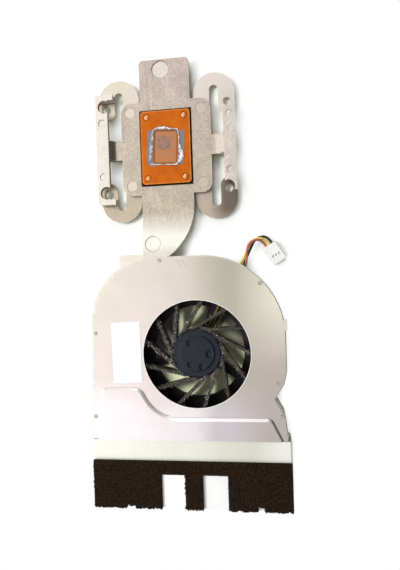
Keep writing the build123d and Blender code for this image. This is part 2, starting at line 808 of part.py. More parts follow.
def lead_connector():
    """Moulded three-way plug housing with a window over each contact."""
    width, length, height = connector_size
    plan = span(-width / 2, width / 2, 0, length)
    body = prism(plan, 0, height)
    body = chamfer(body.edges().filter_by(Axis.Y), connector_corner)
    window_width, window_length = connector_window
    for place in GridLocations(connector_pitch, 1, connector_ways, 1):
        slot = span(-window_width / 2, window_width / 2, connector_window_from_back - window_length / 2,
                    connector_window_from_back + window_length / 2)
        body -= place * prism(slot, height - connector_window_depth, height)
        cavity = span(-contact_width / 2, contact_width / 2, length / 2, length)
        body -= place * prism(cavity, (height - contact_height) / 2, (height + contact_height) / 2)
    return connector_place() * body


def connector_contacts():
    """Crimped contacts inside the housing, set back from its mating end."""
    width, length, height = connector_size
    plan = span(-contact_width / 2, contact_width / 2, length / 2, length - contact_width)
    contact = prism(plan, (height - contact_height) / 2, (height + contact_height) / 2)
    places = GridLocations(connector_pitch, 1, connector_ways, 1)
    return [connector_place() * place * contact for place in places]


pieces = {
    "heatsink_casting": heatsink_casting(),
    "heat_pipe": heat_pipe(),
    "copper_pad": copper_pad(),
    "pad_rivets": pad_rivets(),
    "thermal_pad": thermal_pad(),
    "left_spring_plate": spring_plate(-1),
    "right_spring_plate": spring_plate(1),
    "spring_rivets": spring_rivets(),
    "fan_cover": fan_cover(),
    "cover_label": cover_label(),
    "fin_stack": fin_stack(),
    "fin_cover": fin_cover(),
    "foam_seal": foam_seal(),
    "motor_bracket": motor_bracket(),
    "bracket_screws": bracket_screws(),
    "bearing_sleeve": bearing_sleeve(),
    "thrust_plate": thrust_plate(),
    "motor_board": motor_board(),
    "stator_core": stator_core(),
    "stator_windings": stator_windings(),
    "impeller": impeller(),
    "rotor_yoke": rotor_yoke(),
    "magnet_ring": magnet_ring(),
    "rotor_shaft": rotor_shaft(),
    "lead_connector": lead_connector(),
    "connector_contacts": connector_contacts(),
}
for lead_name in lead_routes:
    pieces[lead_name] = lead(lead_name)

os.makedirs("parts", exist_ok=True)
for name, solid in pieces.items():
    group = Compound(children=solid) if isinstance(solid, list) else solid
    group.label = name
    export_step(group, "parts/" + name + ".step")
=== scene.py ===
import bmesh
import bpy
import math
import random
from mathutils import Matrix, Vector, noise


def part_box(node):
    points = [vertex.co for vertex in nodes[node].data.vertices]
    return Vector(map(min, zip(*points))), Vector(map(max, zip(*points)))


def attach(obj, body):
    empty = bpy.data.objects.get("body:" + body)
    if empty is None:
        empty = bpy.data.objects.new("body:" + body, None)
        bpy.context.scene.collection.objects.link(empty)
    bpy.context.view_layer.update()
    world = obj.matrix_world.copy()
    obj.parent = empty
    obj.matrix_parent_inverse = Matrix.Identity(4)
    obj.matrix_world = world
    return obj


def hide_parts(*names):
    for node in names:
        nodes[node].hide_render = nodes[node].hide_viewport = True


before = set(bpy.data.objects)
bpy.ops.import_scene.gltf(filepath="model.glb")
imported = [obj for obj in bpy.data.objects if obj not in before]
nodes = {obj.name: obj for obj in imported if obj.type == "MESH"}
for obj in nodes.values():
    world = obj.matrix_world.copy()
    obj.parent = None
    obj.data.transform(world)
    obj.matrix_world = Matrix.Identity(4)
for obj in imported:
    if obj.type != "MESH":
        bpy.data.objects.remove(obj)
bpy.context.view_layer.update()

scene = bpy.context.scene
MM = 0.001

# Heatsink casting: the one die-cast aluminium frame that carries everything else. Its grainy
# skin is streaked lengthwise and yellows towards the fan, and tumbling has brightened its edges,
# which also carry a painted highlight. Screws have scuffed the right bar. Painted shade lies
# with real grime in its corners and gaps, in rings round its round marks, in the groove round the
# copper pad and on the left link under the bar's shadow. Painted highlights brighten the bar
# tops, more on the left, the neck's end, the fan's scroll, the tab's mark and the right link.
cast_pink = (0.655, 0.545, 0.495, 1)
cast_yellow = (0.655, 0.578, 0.436, 1)
cast_pore = (0.25, 0.205, 0.165, 1)
# Colour of worn edges and brushing, also used for painted highlights.
cast_worn_and_highlight = (0.86, 0.81, 0.73, 1)
# Colour of painted highlights on the casting.
cast_highlight = (0.86, 0.84, 0.77, 1)
# Colour of real grime and of painted shade in corners and gaps.
grime_and_shade_brown = (0.055, 0.042, 0.032, 1)
# Colour of painted shade in the groove round the copper pad.
pocket_shade_colour = (0.045, 0.020, 0.011, 1)
yellow_span = (104 * MM, 58 * MM)
plate_span = (45 * MM, 54 * MM)
neck_end_span = (38.5 * MM, 41 * MM)
bar_top_span = (5.9 * MM, 5.959 * MM)
right_bar_span = (5 * MM, 5.05 * MM)
below_bar_span = (6.25 * MM, 6.125 * MM)
below_pip_span = (9.2 * MM, 9.016 * MM)
pad_centre = sum((Vector(corner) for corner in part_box("copper_pad")), Vector()) / 2
left_span = (pad_centre.x + 10 * MM, pad_centre.x - 10 * MM)
# Painted shade in rings round the four round marks on the ears.
ear_rivet_off = (13.8 * MM, 14.1 * MM)
ear_rivet_radius = 2.0 * MM
ear_ring_width = 0.3 * MM
ear_ring_shade_strength = 0.6
# Painted shade in the groove round the copper pad: its size, edge and strength.
pocket_size = (20.4 * MM, 29.2 * MM)
pocket_soft = 0.15 * MM
pocket_shade_strength = 0.93
# Painted shadow of the left bar on the link below it.
left_link = pad_centre - Vector((21.0 * MM, 0, 0))
left_link_size = (3.2 * MM, 8.2 * MM)
left_link_soft = 0.6 * MM
left_link_shadow_strength = 0.85
right_link = pad_centre + Vector((20.6 * MM, 0, 0))
right_link_size = (4.4 * MM, 8.2 * MM)
right_link_soft = 0.9 * MM
# Painted highlight on the right link's slope, which faces the light.
right_link_shine = 0.4
tab_mark = pad_centre + Vector((-1.4 * MM, 29.8 * MM, 0))
tab_mark_radius = 3.3 * MM
# Painted highlight inside the tab's round mark.
tab_mark_shine = 0.4
neck_mark = Vector((-15.9 * MM, 41.9 * MM, 0))
neck_mark_radius = 3.0 * MM
# Painted shade in a ring round the tab's and the neck's round marks.
mark_line = 0.3 * MM
mark_ring_shade_strength = 0.5
# Painted highlights: how far the neck's end, the fan's scroll and the bar tops are brightened, more on
# the left bar.
neck_end_shine, scroll_shine = 0.85, 0.5
left_bar_shine, right_bar_shine = 0.5, 0.28


def join(tree, value, socket):
    """Links a socket to an input, or sets the input to a plain value."""
    if isinstance(value, bpy.types.NodeSocket):
        tree.links.new(value, socket)
    else:
        socket.default_value = value


def feed(tree, made, **inputs):
    """Sets a node's inputs by name, to plain values or to other nodes' sockets."""
    for key, value in inputs.items():
        join(tree, value, made.inputs[key.replace("_", " ")])
    return made


def add(tree, kind, settings=None, **inputs):
    """Places a shader node with its settings and its inputs."""
    made = tree.nodes.new(kind)
    for key, value in (settings or {}).items():
        setattr(made, key, value)
    return feed(tree, made, **inputs)


def maths(tree, operation, first, second=0.0):
    """One sum of two values."""
    made = add(tree, "ShaderNodeMath", {"operation": operation})
    join(tree, first, made.inputs[0])
    join(tree, second, made.inputs[1])
    return made.outputs[0]


def vector_maths(tree, operation, first, second=(0, 0, 0)):
    """One sum of two vectors."""
    made = add(tree, "ShaderNodeVectorMath", {"operation": operation})
    join(tree, first, made.inputs[0])
    join(tree, second, made.inputs[1])
    return made.outputs["Value" if operation in ("DOT_PRODUCT", "LENGTH") else "Vector"]


def product(tree, first, *others):
    """Several values multiplied together."""
    for other in others:
        first = maths(tree, "MULTIPLY", first, other)
    return first


def either(tree, first, *others):
    """The strongest of several masks."""
    for other in others:
        first = maths(tree, "MAXIMUM", first, other)
    return first


def without(tree, mask):
    """What a mask leaves free."""
    return maths(tree, "SUBTRACT", 1.0, mask)


def apart(tree, first, second):
    """How far two values differ."""
    return maths(tree, "ABSOLUTE", maths(tree, "SUBTRACT", first, second))


def blend(tree, share, first, second):
    """Mixes two colours by a share."""
    made = add(tree, "ShaderNodeMix", {"data_type": "RGBA"})
    for index, value in ((0, share), (6, first), (7, second)):
        join(tree, value, made.inputs[index])
    return made.outputs[2]


def layered(tree, colour, *coats):
    """Lays coats over a colour in turn. Each has its own colour, mask and strength."""
    for over, mask, strength in coats:
        colour = blend(tree, product(tree, mask, strength), colour, over)
    return colour


def between(tree, value, low, high, to_low=0.0, to_high=1.0):
    """Stretches a value from one range to another and holds it there."""
    span = {"From_Min": low, "From_Max": high, "To_Min": to_low, "To_Max": to_high}
    return add(tree, "ShaderNodeMapRange", Value=value, **span).outputs[0]


def scaled(tree, mask, low, high):
    """Gives one value where a mask is empty and another where it is full."""
    return between(tree, mask, 0, 1, low, high)


def here(tree):
    """The place on the part, in metres."""
    return tree.nodes.new("ShaderNodeTexCoord").outputs["Object"]


def facing(tree):
    """The direction that the surface faces."""
    return tree.nodes.new("ShaderNodeNewGeometry").outputs["Normal"]


def sides(tree, vector):
    """The three sides of a vector, by the names of their axes."""
    return add(tree, "ShaderNodeSeparateXYZ", Vector=vector).outputs


def beyond(tree, axis, low, high):
    """Marks what lies past a level along one axis, with a soft change."""
    return between(tree, sides(tree, here(tree))[axis], low, high)


def cloudy(tree, per_metre, detail, place=None):
    """Soft noise, with so many patches to the metre."""
    spot = here(tree) if place is None else place
    return add(tree, "ShaderNodeTexNoise", Vector=spot, Scale=per_metre, Detail=detail).outputs["Fac"]


def effect(name, inputs, output="Mask"):
    """Starts a shader group with named number inputs and one output."""
    tree = bpy.data.node_groups.new(name, "ShaderNodeTree")
    for socket in inputs:
        tree.interface.new_socket(socket, in_out="INPUT", socket_type="NodeSocketFloat")
    tree.interface.new_socket(output, in_out="OUTPUT", socket_type="NodeSocketFloat")
    given = tree.nodes.new("NodeGroupInput").outputs
    return tree, given, tree.nodes.new("NodeGroupOutput").inputs[output]


def use(tree, group, **inputs):
    """Puts a shader group in a material with its own values, and gives its result."""
    return add(tree, "ShaderNodeGroup", {"node_tree": group}, **inputs).outputs[0]


def make_mottle():
    """Uneven patches of one size, for grain, stains and clouding."""
    tree, given, mask = effect("mottle", ("PerMetre", "Contrast"))
    shifted = maths(tree, "SUBTRACT", cloudy(tree, given["PerMetre"], 5.0), 0.5)
    stretched = product(tree, shifted, given["Contrast"])
    join(tree, between(tree, stretched, -0.5, 0.5), mask)
    return tree


def make_edge_wear_and_highlight():
    """Brightened outer edges, part real wear and part painted highlight, broken up so that the wear isn't
    even.
    """
    tree, given, mask = effect("edge_wear_and_highlight", ("Reach", "Amount"))
    rounded = add(tree, "ShaderNodeBevel", {"samples": 4}, Radius=given["Reach"]).outputs["Normal"]
    unbent, bent = 0.995, 0.86
    near = between(tree, vector_maths(tree, "DOT_PRODUCT", rounded, facing(tree)), unbent, bent)
    broken = between(tree, cloudy(tree, 900.0, 3.0), 0.3, 0.6, 0.35, 1.0)
    join(tree, product(tree, near, broken, given["Amount"]), mask)
    return tree


def make_scratches():
    """Fine straight scratches that lie in one direction."""
    tree, given, mask = effect("scratches", ("PerMetre", "Turn", "Amount"))
    about_z = {"rotation_type": "Z_AXIS"}
    turned = add(tree, "ShaderNodeVectorRotate", about_z, Vector=here(tree), Angle=given["Turn"])
    drawn_out = vector_maths(tree, "MULTIPLY", turned.outputs[0], (0.05, 1.0, 1.0))
    thin = between(tree, cloudy(tree, given["PerMetre"], 2.0, drawn_out), 0.6, 0.68)
    join(tree, product(tree, thin, given["Amount"]), mask)
    return tree


def make_grime_and_shade():
    """Real dirt, and painted shade, that stay in corners, gaps and round small raised pieces."""
    tree, given, mask = effect("grime_and_shade", ("Reach", "Amount"))
    corners = add(tree, "ShaderNodeAmbientOcclusion", {"samples": 8}, Distance=given["Reach"])
    open_place, closed_place = 0.8, 0.3
    deep = between(tree, corners.outputs["AO"], open_place, closed_place)
    uneven = between(tree, cloudy(tree, 1100.0, 3.0), 0.3, 0.65, 0.5, 1.0)
    join(tree, product(tree, deep, uneven, given["Amount"]), mask)
    return tree


def make_rings():
    """An uneven ring round each of four places that stand evenly about a centre."""
    tree, given, mask = effect("rings", ("CentreX", "CentreY", "OffX", "OffY", "Radius", "Width"))
    place = sides(tree, here(tree))
    squares = []
    for axis in ("X", "Y"):
        from_centre = apart(tree, place[axis], given["Centre" + axis])
        past = maths(tree, "SUBTRACT", from_centre, given["Off" + axis])
        squares.append(product(tree, past, past))
    from_ring = apart(tree, maths(tree, "SQRT", maths(tree, "ADD", *squares)), given["Radius"])
    uneven = between(tree, cloudy(tree, 1300.0, 2.0), 0.3, 0.6, 0.4, 1.0)
    join(tree, product(tree, between(tree, from_ring, given["Width"], 0.0), uneven), mask)
    return tree


def make_oblong():
    """An oblong on a flat face, with a soft edge."""
    tree, given, mask = effect("oblong", ("CentreX", "CentreY", "Width", "Length", "Turn", "Soft"))
    centre = add(tree, "ShaderNodeCombineXYZ", X=given["CentreX"], Y=given["CentreY"]).outputs[0]
    about_z = {"rotation_type": "Z_AXIS", "invert": True}
    turned = add(tree, "ShaderNodeVectorRotate", about_z, Vector=here(tree), Center=centre,
                 Angle=given["Turn"])
    place = sides(tree, turned.outputs[0])
    inside = []
    for axis, size in (("X", "Width"), ("Y", "Length")):
        off = apart(tree, place[axis], given["Centre" + axis])
        from_edge = maths(tree, "SUBTRACT", product(tree, given[size], 0.5), off)
        inside.append(between(tree, maths(tree, "DIVIDE", from_edge, given["Soft"]), 0, 1))
    join(tree, product(tree, *inside), mask)
    return tree


mottle = make_mottle()
edge_wear_and_highlight = make_edge_wear_and_highlight()
scratches = make_scratches()
grime_and_shade = make_grime_and_shade()
rings = make_rings()
oblong = make_oblong()


def ring_at(tree, centre, radius, width, off=(0, 0)):
    """Marks a ring round a place, or round each of four places that stand off from it."""
    return use(tree, rings, CentreX=centre.x, CentreY=centre.y, OffX=off[0], OffY=off[1],
               Radius=radius, Width=width)


def oblong_at(tree, centre, size, soft, turn=0.0):
    """Marks an oblong round a place."""
    return use(tree, oblong, CentreX=centre.x, CentreY=centre.y, Width=size[0], Length=size[1],
               Turn=turn, Soft=soft)


def on_left(tree):
    """Marks the left side of the processor's end."""
    return beyond(tree, "X", *left_span)


def finish_of(name, roughness=0.5, metallic=0.0, gloss=0.5):
    """A new material, with its tree and its main shader."""
    made = bpy.data.materials.new(name)
    made.use_nodes = True
    tree = made.node_tree
    shader = tree.nodes["Principled BSDF"]
    feed(tree, shader, Roughness=roughness, Metallic=metallic, Specular_IOR_Level=gloss)
    return made, tree, shader


def roughen(tree, shader, height, depth, strength):
    """Gives a surface its relief, with its depth in metres."""
    bump = add(tree, "ShaderNodeBump", Height=height, Strength=strength, Distance=depth)
    feed(tree, shader, Normal=bump.outputs[0])
    return bump


def dress(finish, *names):
    """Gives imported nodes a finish."""
    for name in names:
        nodes[name].data.materials.clear()
        nodes[name].data.materials.append(finish)


cast_aluminium, tree, shader = finish_of("cast_aluminium")
grain = use(tree, mottle, PerMetre=2600, Contrast=3.0)
fine = use(tree, mottle, PerMetre=7000, Contrast=2.2)
blotch = use(tree, mottle, PerMetre=1250, Contrast=3.6)
stain = use(tree, mottle, PerMetre=170, Contrast=3.0)
cloud = use(tree, mottle, PerMetre=70, Contrast=2.6)
brushed = use(tree, scratches, PerMetre=1500, Turn=1.57, Amount=0.16)
streaks = use(tree, scratches, PerMetre=750, Turn=1.52, Amount=0.2)
scuffs = use(tree, scratches, PerMetre=2900, Turn=-0.7, Amount=0.8)
# Worn edges with a painted highlight on them.
worn_and_highlight = use(tree, edge_wear_and_highlight, Reach=0.22 * MM, Amount=0.75)
# Real grime with painted shade in corners and gaps.
dirt_and_shade = use(tree, grime_and_shade, Reach=0.7 * MM, Amount=0.75)
# Painted shade in rings round the round marks.
ear_ring_shade = ring_at(tree, pad_centre, ear_rivet_radius, ear_ring_width, ear_rivet_off)
# Painted shade in the groove round the copper pad.
pocket_shade = oblong_at(tree, pad_centre, pocket_size, pocket_soft)
below_bars = beyond(tree, "Z", *below_bar_span)
# Painted shadow of the left bar on the link below it.
link_shadow = product(tree, oblong_at(tree, left_link, left_link_size, left_link_soft), below_bars)
dirt_and_shade = either(tree, dirt_and_shade, product(tree, ear_ring_shade, ear_ring_shade_strength), product(tree, pocket_shade, pocket_shade_strength),
              product(tree, link_shadow, left_link_shadow_strength))
for mark, radius in ((tab_mark, tab_mark_radius), (neck_mark, neck_mark_radius)):
    dirt_and_shade = either(tree, dirt_and_shade, product(tree, ring_at(tree, mark, radius, mark_line), mark_ring_shade_strength))
on_plate = beyond(tree, "Y", *plate_span)
bar_tops = product(tree, on_plate, beyond(tree, "Z", *bar_top_span))
right_bar_top = product(tree, bar_tops, beyond(tree, "X", *right_bar_span))
by_fan = product(tree, without(tree, on_plate), beyond(tree, "Z", *below_pip_span))
on_neck = beyond(tree, "Y", *neck_end_span)
mark_face = between(tree, ring_at(tree, tab_mark, 0, tab_mark_radius), 0, 0.08)
link_face = oblong_at(tree, right_link, right_link_size, right_link_soft)
# Painted highlight: brighter bar tops, more on the left, and a brighter neck end, fan scroll, tab mark
# and right link.
painted_highlight = either(
    tree, product(tree, by_fan, scaled(tree, on_neck, scroll_shine, neck_end_shine)),
    product(tree, bar_tops, scaled(tree, on_left(tree), right_bar_shine, left_bar_shine)),
    product(tree, mark_face, tab_mark_shine), product(tree, link_face, right_link_shine))
yellowed = maths(tree, "ADD", scaled(tree, cloud, -0.35, 0.35), beyond(tree, "Y", *yellow_span))
skin = layered(
    tree, blend(tree, yellowed, cast_pink, cast_yellow),
    (cast_pore, product(tree, grain, fine), 0.9),
    (cast_pore, blotch, 0.35),
    (cast_pore, stain, 0.30),
    (cast_pore, streaks, 1.0),
    (cast_worn_and_highlight, brushed, 1.0),
    (cast_highlight, painted_highlight, 1.0),
    (cast_worn_and_highlight, either(tree, worn_and_highlight, product(tree, scuffs, right_bar_top)), 1.0),
    (grime_and_shade_brown, dirt_and_shade, 1.0),
    (pocket_shade_colour, pocket_shade, 0.95))
rough = either(tree, scaled(tree, grain, 0.42, 0.62), dirt_and_shade)
feed(tree, shader, Base_Color=skin, Metallic=scaled(tree, dirt_and_shade, 0.5, 0.0), Roughness=rough)
roughen(tree, shader, grain, depth=0.05 * MM, strength=0.6)
dress(cast_aluminium, "heatsink_casting")

# Heat pipe, copper pad and pad rivets: bare copper. The pipe is drawn round and pressed
# flat, the pad is punched from plate and riveted over it. The pad is bright where it was
# ground flat, and dull with old film where the die was pressed on it. A dark line of painted
# shadow edges that print. Painted shade darkens the pad's side walls and rings round its
# rivets, and painted highlights brighten the rivet tops and the pad's worn edges.
copper_bright = (0.55, 0.130, 0.009, 1)
copper_dull = (0.43, 0.085, 0.006, 1)
copper_edge = (0.80, 0.36, 0.12, 1)
copper_film = (0.46, 0.19, 0.065, 1)
copper_pale_film = (0.36, 0.22, 0.135, 1)
copper_violet_film = (0.29, 0.205, 0.18, 1)
copper_grey_film = (0.13, 0.095, 0.08, 1)
# Colour of the painted highlight on the rivet tops.
copper_highlight = (0.86, 0.46, 0.24, 1)
# Colour of real grime and of painted shade on the copper.
copper_grime_and_shade = (0.035, 0.016, 0.008, 1)
pad_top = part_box("copper_pad")[1].z
pad_rivet_off = (7.2 * MM, 11.6 * MM)
pad_rivet_radius = 1.1 * MM
pad_rivet_head = 0.95 * MM
pad_ring_width = 0.35 * MM
die_width, die_length = 9.4 * MM, 12.9 * MM
die_tilt = math.radians(-3.5)
print_line = 0.75 * MM
print_soft, line_soft = 0.5 * MM, 0.4 * MM
film_patch = pad_centre + Vector((-0.6 * MM, 1.6 * MM, 0))
film_patch_size = (7.0 * MM, 6.2 * MM)
film_patch_soft = 1.4 * MM
film_ring_radius = 2.2 * MM
film_ring_width = 0.9 * MM
# Painted shade on the pad's side walls: how steep a face must be.
side_wall_shade_span = (0.7, 0.2)

copper, tree, shader = finish_of("copper", metallic=0.65, gloss=0.1)
stain = use(tree, mottle, PerMetre=240, Contrast=2.4)
smears = use(tree, mottle, PerMetre=650, Contrast=3.4)
crumbs = use(tree, mottle, PerMetre=1500, Contrast=4.6)
lines = use(tree, scratches, PerMetre=4200, Turn=1.5, Amount=0.14)
# Worn edges with a painted highlight: the bright rim round the copper pad.
worn_and_highlight = use(tree, edge_wear_and_highlight, Reach=0.75 * MM, Amount=1.0)
# Real grime with painted shade in corners and gaps.
dirt_and_shade = use(tree, grime_and_shade, Reach=0.6 * MM, Amount=0.9)
# Painted shade in rings round the pad rivets, and a painted highlight on their tops.
pip_ring_shade = ring_at(tree, pad_centre, pad_rivet_radius, pad_ring_width, pad_rivet_off)
pip_highlight = between(tree, ring_at(tree, pad_centre, 0, pad_rivet_head, pad_rivet_off), 0.1, 0.35)
die_print = oblong_at(tree, pad_centre, (die_width, die_length), print_soft, die_tilt)
inner_size = (die_width - print_line, die_length - print_line)
print_inside = oblong_at(tree, pad_centre, inner_size, line_soft, die_tilt)
# Painted shadow of the squeezed ridge along the print's edge.
print_outline_shadow = product(tree, die_print, without(tree, print_inside))
patch = oblong_at(tree, film_patch, film_patch_size, film_patch_soft, die_tilt)
patch_ring = ring_at(tree, film_patch, film_ring_radius, film_ring_width)
specks = product(tree, either(tree, product(tree, patch, 0.4), patch_ring), crumbs)
# Painted shade on the pad's side walls.
side_wall_shade = between(tree, sides(tree, facing(tree))["Z"], *side_wall_shade_span)
ridge_shadow = product(tree, print_outline_shadow, 0.75)
dirt_and_shade = either(tree, dirt_and_shade, product(tree, either(tree, pip_ring_shade, side_wall_shade), 0.8), ridge_shadow)
metal = layered(
    tree, blend(tree, stain, copper_dull, copper_bright),
    (copper_edge, either(tree, lines, worn_and_highlight), 1.0),
    (copper_highlight, pip_highlight, 0.6),
    (blend(tree, smears, copper_film, copper_pale_film), die_print, 0.8),
    (copper_violet_film, patch, 0.6),
    (copper_grey_film, specks, 0.9),
    (copper_grime_and_shade, dirt_and_shade, 1.0))
feed(tree, shader, Base_Color=metal, Roughness=scaled(tree, stain, 0.36, 0.5))
roughen(tree, shader, lines, depth=0.02 * MM, strength=0.5)
dress(copper, "heat_pipe", "copper_pad", "pad_rivets")

# Thermal pad remains: grey silicone pad that was cut square and stuck on the copper. The
# die squeezed it out into a torn, crinkled ridge with pale crests, broad and grey at the
# left, and flat grey wings of the pad are left on both sides of it. The ridge's grey below
# its crests is painted shade in its folds.
compound_grey_and_shade = (0.19, 0.165, 0.165, 1)
compound_pale = (0.86, 0.83, 0.83, 1)
broad_span = (pad_centre.x - 3.2 * MM, pad_centre.x - 5.2 * MM)
ridge_height = 0.62 * MM
ridge_steps = 520
ridge_rows = 13
ridge_lift = 0.01 * MM
ridge_least = 0.5 * MM
ridge_lobes = ((0.947, 2.1, 0.055, 1.0), (0.50, 1.4, 0.09, 0.62), (0.603, 1.0, 0.04, 0.55),
               (0.28, 0.9, 0.06, 0.8))
ragged_circle = 7
ragged_inside, ragged_outside = 0.3 * MM, 0.4 * MM
crest_wander = 0.45
crest_width = 0.33
crease_per_mm = 0.62
crease_depth = 2.2
flank_share = 0.22
rise_least, rise_mean, rise_crease = 0.12, 0.45, 0.6
print_squareness = 8
wing_thickness = 0.1 * MM
wing_points = 26
wing_tear = 0.35 * MM
wing_tear_per_mm = 1.3
wing_start = 0.2 * MM
residue_width = 14.4 * MM
residue_length = 12.6 * MM


def new_piece(name, vertices, faces, body, finish, smooth=True):
    """A mesh piece that rides on a body and has one finish."""
    mesh = bpy.data.meshes.new(name)
    mesh.from_pydata([tuple(v) for v in vertices], [], faces)
    mesh.materials.append(finish)
    mesh.polygons.foreach_set("use_smooth", [smooth] * len(mesh.polygons))
    mesh.update()
    piece = bpy.data.objects.new(name, mesh)
    scene.collection.objects.link(piece)
    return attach(piece, body)


def on_print(x, y, z):
    """A place on the copper pad, from the middle of the die's print."""
    flat = Matrix.Rotation(die_tilt, 3, "Z") @ Vector((x, y, 0))
    return Vector((pad_centre.x, pad_centre.y, pad_top + z)) + flat


def round_print(share, outward):
    """A place on the outline of the print, moved outward from it, going round once."""
    x, y = math.cos(math.tau * share), math.sin(math.tau * share)
    reach = (abs(x) ** print_squareness + abs(y) ** print_squareness) ** (-1 / print_squareness)
    return x * reach * (die_width / 2 + outward), y * reach * (die_length / 2 + outward)


def waver(x, y, z):
    """Smooth noise between minus one and one."""
    return noise.noise(Vector((x, y, z)))


def lobe(share, place, spread):
    """How much of a wide stretch of the ridge lies at a place, going round once."""
    off = abs(share - place)
    return math.exp(-(min(off, 1 - off) / spread) ** 2)


def ridge_rise(x, y, across, crest, lift):
    """How high the squeezed ridge stands at a place: a wandering crest, broken by sharp creases."""
    hill = flank_share + (1 - flank_share) * math.exp(-((across - crest) / crest_width) ** 2)
    crease = 1 - crease_depth * abs(waver(x / MM * crease_per_mm, y / MM * crease_per_mm, 3.0))
    foot = math.sin(math.pi * across) ** 0.5
    return lift * ridge_height * foot * hill * max(rise_least, rise_mean + rise_crease * crease)


compound, tree, shader = finish_of("thermal_compound", roughness=0.55)
torn = use(tree, mottle, PerMetre=900, Contrast=4.2)
fine = use(tree, mottle, PerMetre=5200, Contrast=2.0)
# Painted shade: the ridge is grey below its crests and pale on them.
crests = beyond(tree, "Z", pad_top + 1.2 * wing_thickness, pad_top + 0.5 * ridge_height)
broad = beyond(tree, "X", *broad_span)
pale = product(tree, crests, between(tree, torn, 0.15, 0.6, 0.3, 1.0), scaled(tree, broad, 1.0, 0.5))
feed(tree, shader, Base_Color=blend(tree, pale, compound_grey_and_shade, compound_pale))
roughen(tree, shader, fine, depth=0.03 * MM, strength=0.6)

vertices = []
faces = []
for step in range(ridge_steps):
    share = step / ridge_steps
    round_x = ragged_circle * math.cos(math.tau * share)
    round_y = ragged_circle * math.sin(math.tau * share)
    wider = 0
    lift = 1
    for place, width, spread, height in ridge_lobes:
        wider += width * MM * lobe(share, place, spread)
        lift *= 1 - (1 - height) * lobe(share, place, spread)
    inner = ragged_inside * waver(round_x, round_y, 1.5)
    outer = ridge_least + wider + ragged_outside * abs(waver(round_x, round_y, 2.5))
    crest = 0.5 + crest_wander * waver(1.5 * round_x, 1.5 * round_y, 4.0)
    for row in range(ridge_rows):
        across = row / (ridge_rows - 1)
        x, y = round_print(share, inner * (1 - across) + outer * across)
        vertices.append(on_print(x, y, ridge_lift + ridge_rise(x, y, across, crest, lift)))
floor_start = len(vertices)
for step in range(ridge_steps):
    for row in (0, ridge_rows - 1):
        low = vertices[step * ridge_rows + row].copy()
        low.z = pad_top
        vertices.append(low)
for step in range(ridge_steps):
    ahead = (step + 1) % ridge_steps
    top, top_next = step * ridge_rows, ahead * ridge_rows
    for row in range(ridge_rows - 1):
        faces.append((top + row, top + row + 1, top_next + row + 1, top_next + row))
    last, last_next = top + ridge_rows - 1, top_next + ridge_rows - 1
    foot, foot_next = floor_start + 2 * step, floor_start + 2 * ahead
    faces.append((foot, top, top_next, foot_next))
    faces.append((last, foot + 1, foot_next + 1, last_next))
    faces.append((foot + 1, foot, foot_next, foot_next + 1))
squeezed_ridge = new_piece("squeezed_ridge", vertices, faces, "module", compound)
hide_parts("thermal_pad")

for side, label in ((-1, "left"), (1, "right")):
    vertices = []
    faces = []
    for step in range(wing_points):
        along = (step / (wing_points - 1) - 0.5) * residue_length
        torn_edge = wing_tear * waver(along / MM * wing_tear_per_mm, 11.0 * side, 0)
        for x in (side * (die_width / 2 + wing_start), side * residue_width / 2 + torn_edge):
            for z in (0.0, wing_thickness):
                vertices.append(on_print(x, along, z))
    for step in range(wing_points - 1):
        a, b = 4 * step, 4 * step + 4
        ring = ((0, 1), (1, 3), (3, 2), (2, 0))
        faces += [(a + i, a + j, b + j, b + i)[::side] for i, j in ring]
    last = 4 * (wing_points - 1)
    faces += [(0, 2, 3, 1)[::side], (last, last + 1, last + 3, last + 2)[::side]]
    wing = new_piece("pad_wing_" + label, vertices, faces, "module", compound, smooth=False)

# Spring plates and their rivets: plates stamped from spring steel, plated pale grey, and
# flat-headed rivets that hold them under the ears of the casting. Painted shade darkens the
# near end of the right plate to brown and darkens and yellows the left plate, and the plates
# turn darker and yellower towards their near ends. The rivet heads on the left carry a painted
# highlight.
steel_pale = (0.69, 0.63, 0.55, 1)
steel_shade = (0.60, 0.54, 0.49, 1)
steel_edge = (0.80, 0.77, 0.72, 1)
steel_low = (0.39, 0.325, 0.24, 1)
# Painted shade: a darker, yellower tone for the left plate, where the lamp lights it more.
steel_left_shade = (0.56, 0.50, 0.39, 1)
# Colour of painted shade on the near end of the right plate.
steel_end_shade = (0.12, 0.098, 0.070, 1)
rivet_pale = (0.60, 0.53, 0.42, 1)
rivet_shade = (0.44, 0.385, 0.305, 1)
steel_low_span = (84 * MM, 55 * MM)
right_low, right_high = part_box("right_spring_plate")
end_shade_centre = Vector((right_high.x - 2.5 * MM, right_low.y + 10.5 * MM, 0))
end_shade_size = (17 * MM, 27 * MM)
end_shade_soft = 0.35 * end_shade_size[0]

spring_steel, tree, shader = finish_of("spring_steel", metallic=0.55)
stain = use(tree, mottle, PerMetre=110, Contrast=2.0)
lines = use(tree, scratches, PerMetre=5200, Turn=1.57, Amount=0.25)
# Worn edges with a painted highlight on them.
worn_and_highlight = use(tree, edge_wear_and_highlight, Reach=0.16 * MM, Amount=0.7)
# Real grime with painted shade in corners and gaps.
dirt_and_shade = use(tree, grime_and_shade, Reach=0.8 * MM, Amount=0.7)
sheet = layered(
    tree, blend(tree, stain, steel_shade, steel_pale),
    # Painted shade on the left plate.
    (steel_left_shade, on_left(tree), 0.6),
    (steel_low, beyond(tree, "Y", *steel_low_span), 0.85),
    (steel_edge, either(tree, lines, worn_and_highlight), 1.0),
    # Painted shade on the near end of the right plate.
    (steel_end_shade, oblong_at(tree, end_shade_centre, end_shade_size, end_shade_soft), 0.92),
    (grime_and_shade_brown, dirt_and_shade, 1.0))
feed(tree, shader, Base_Color=sheet, Roughness=scaled(tree, stain, 0.34, 0.48))
roughen(tree, shader, lines, depth=0.01 * MM, strength=0.5)
dress(spring_steel, "left_spring_plate", "right_spring_plate")

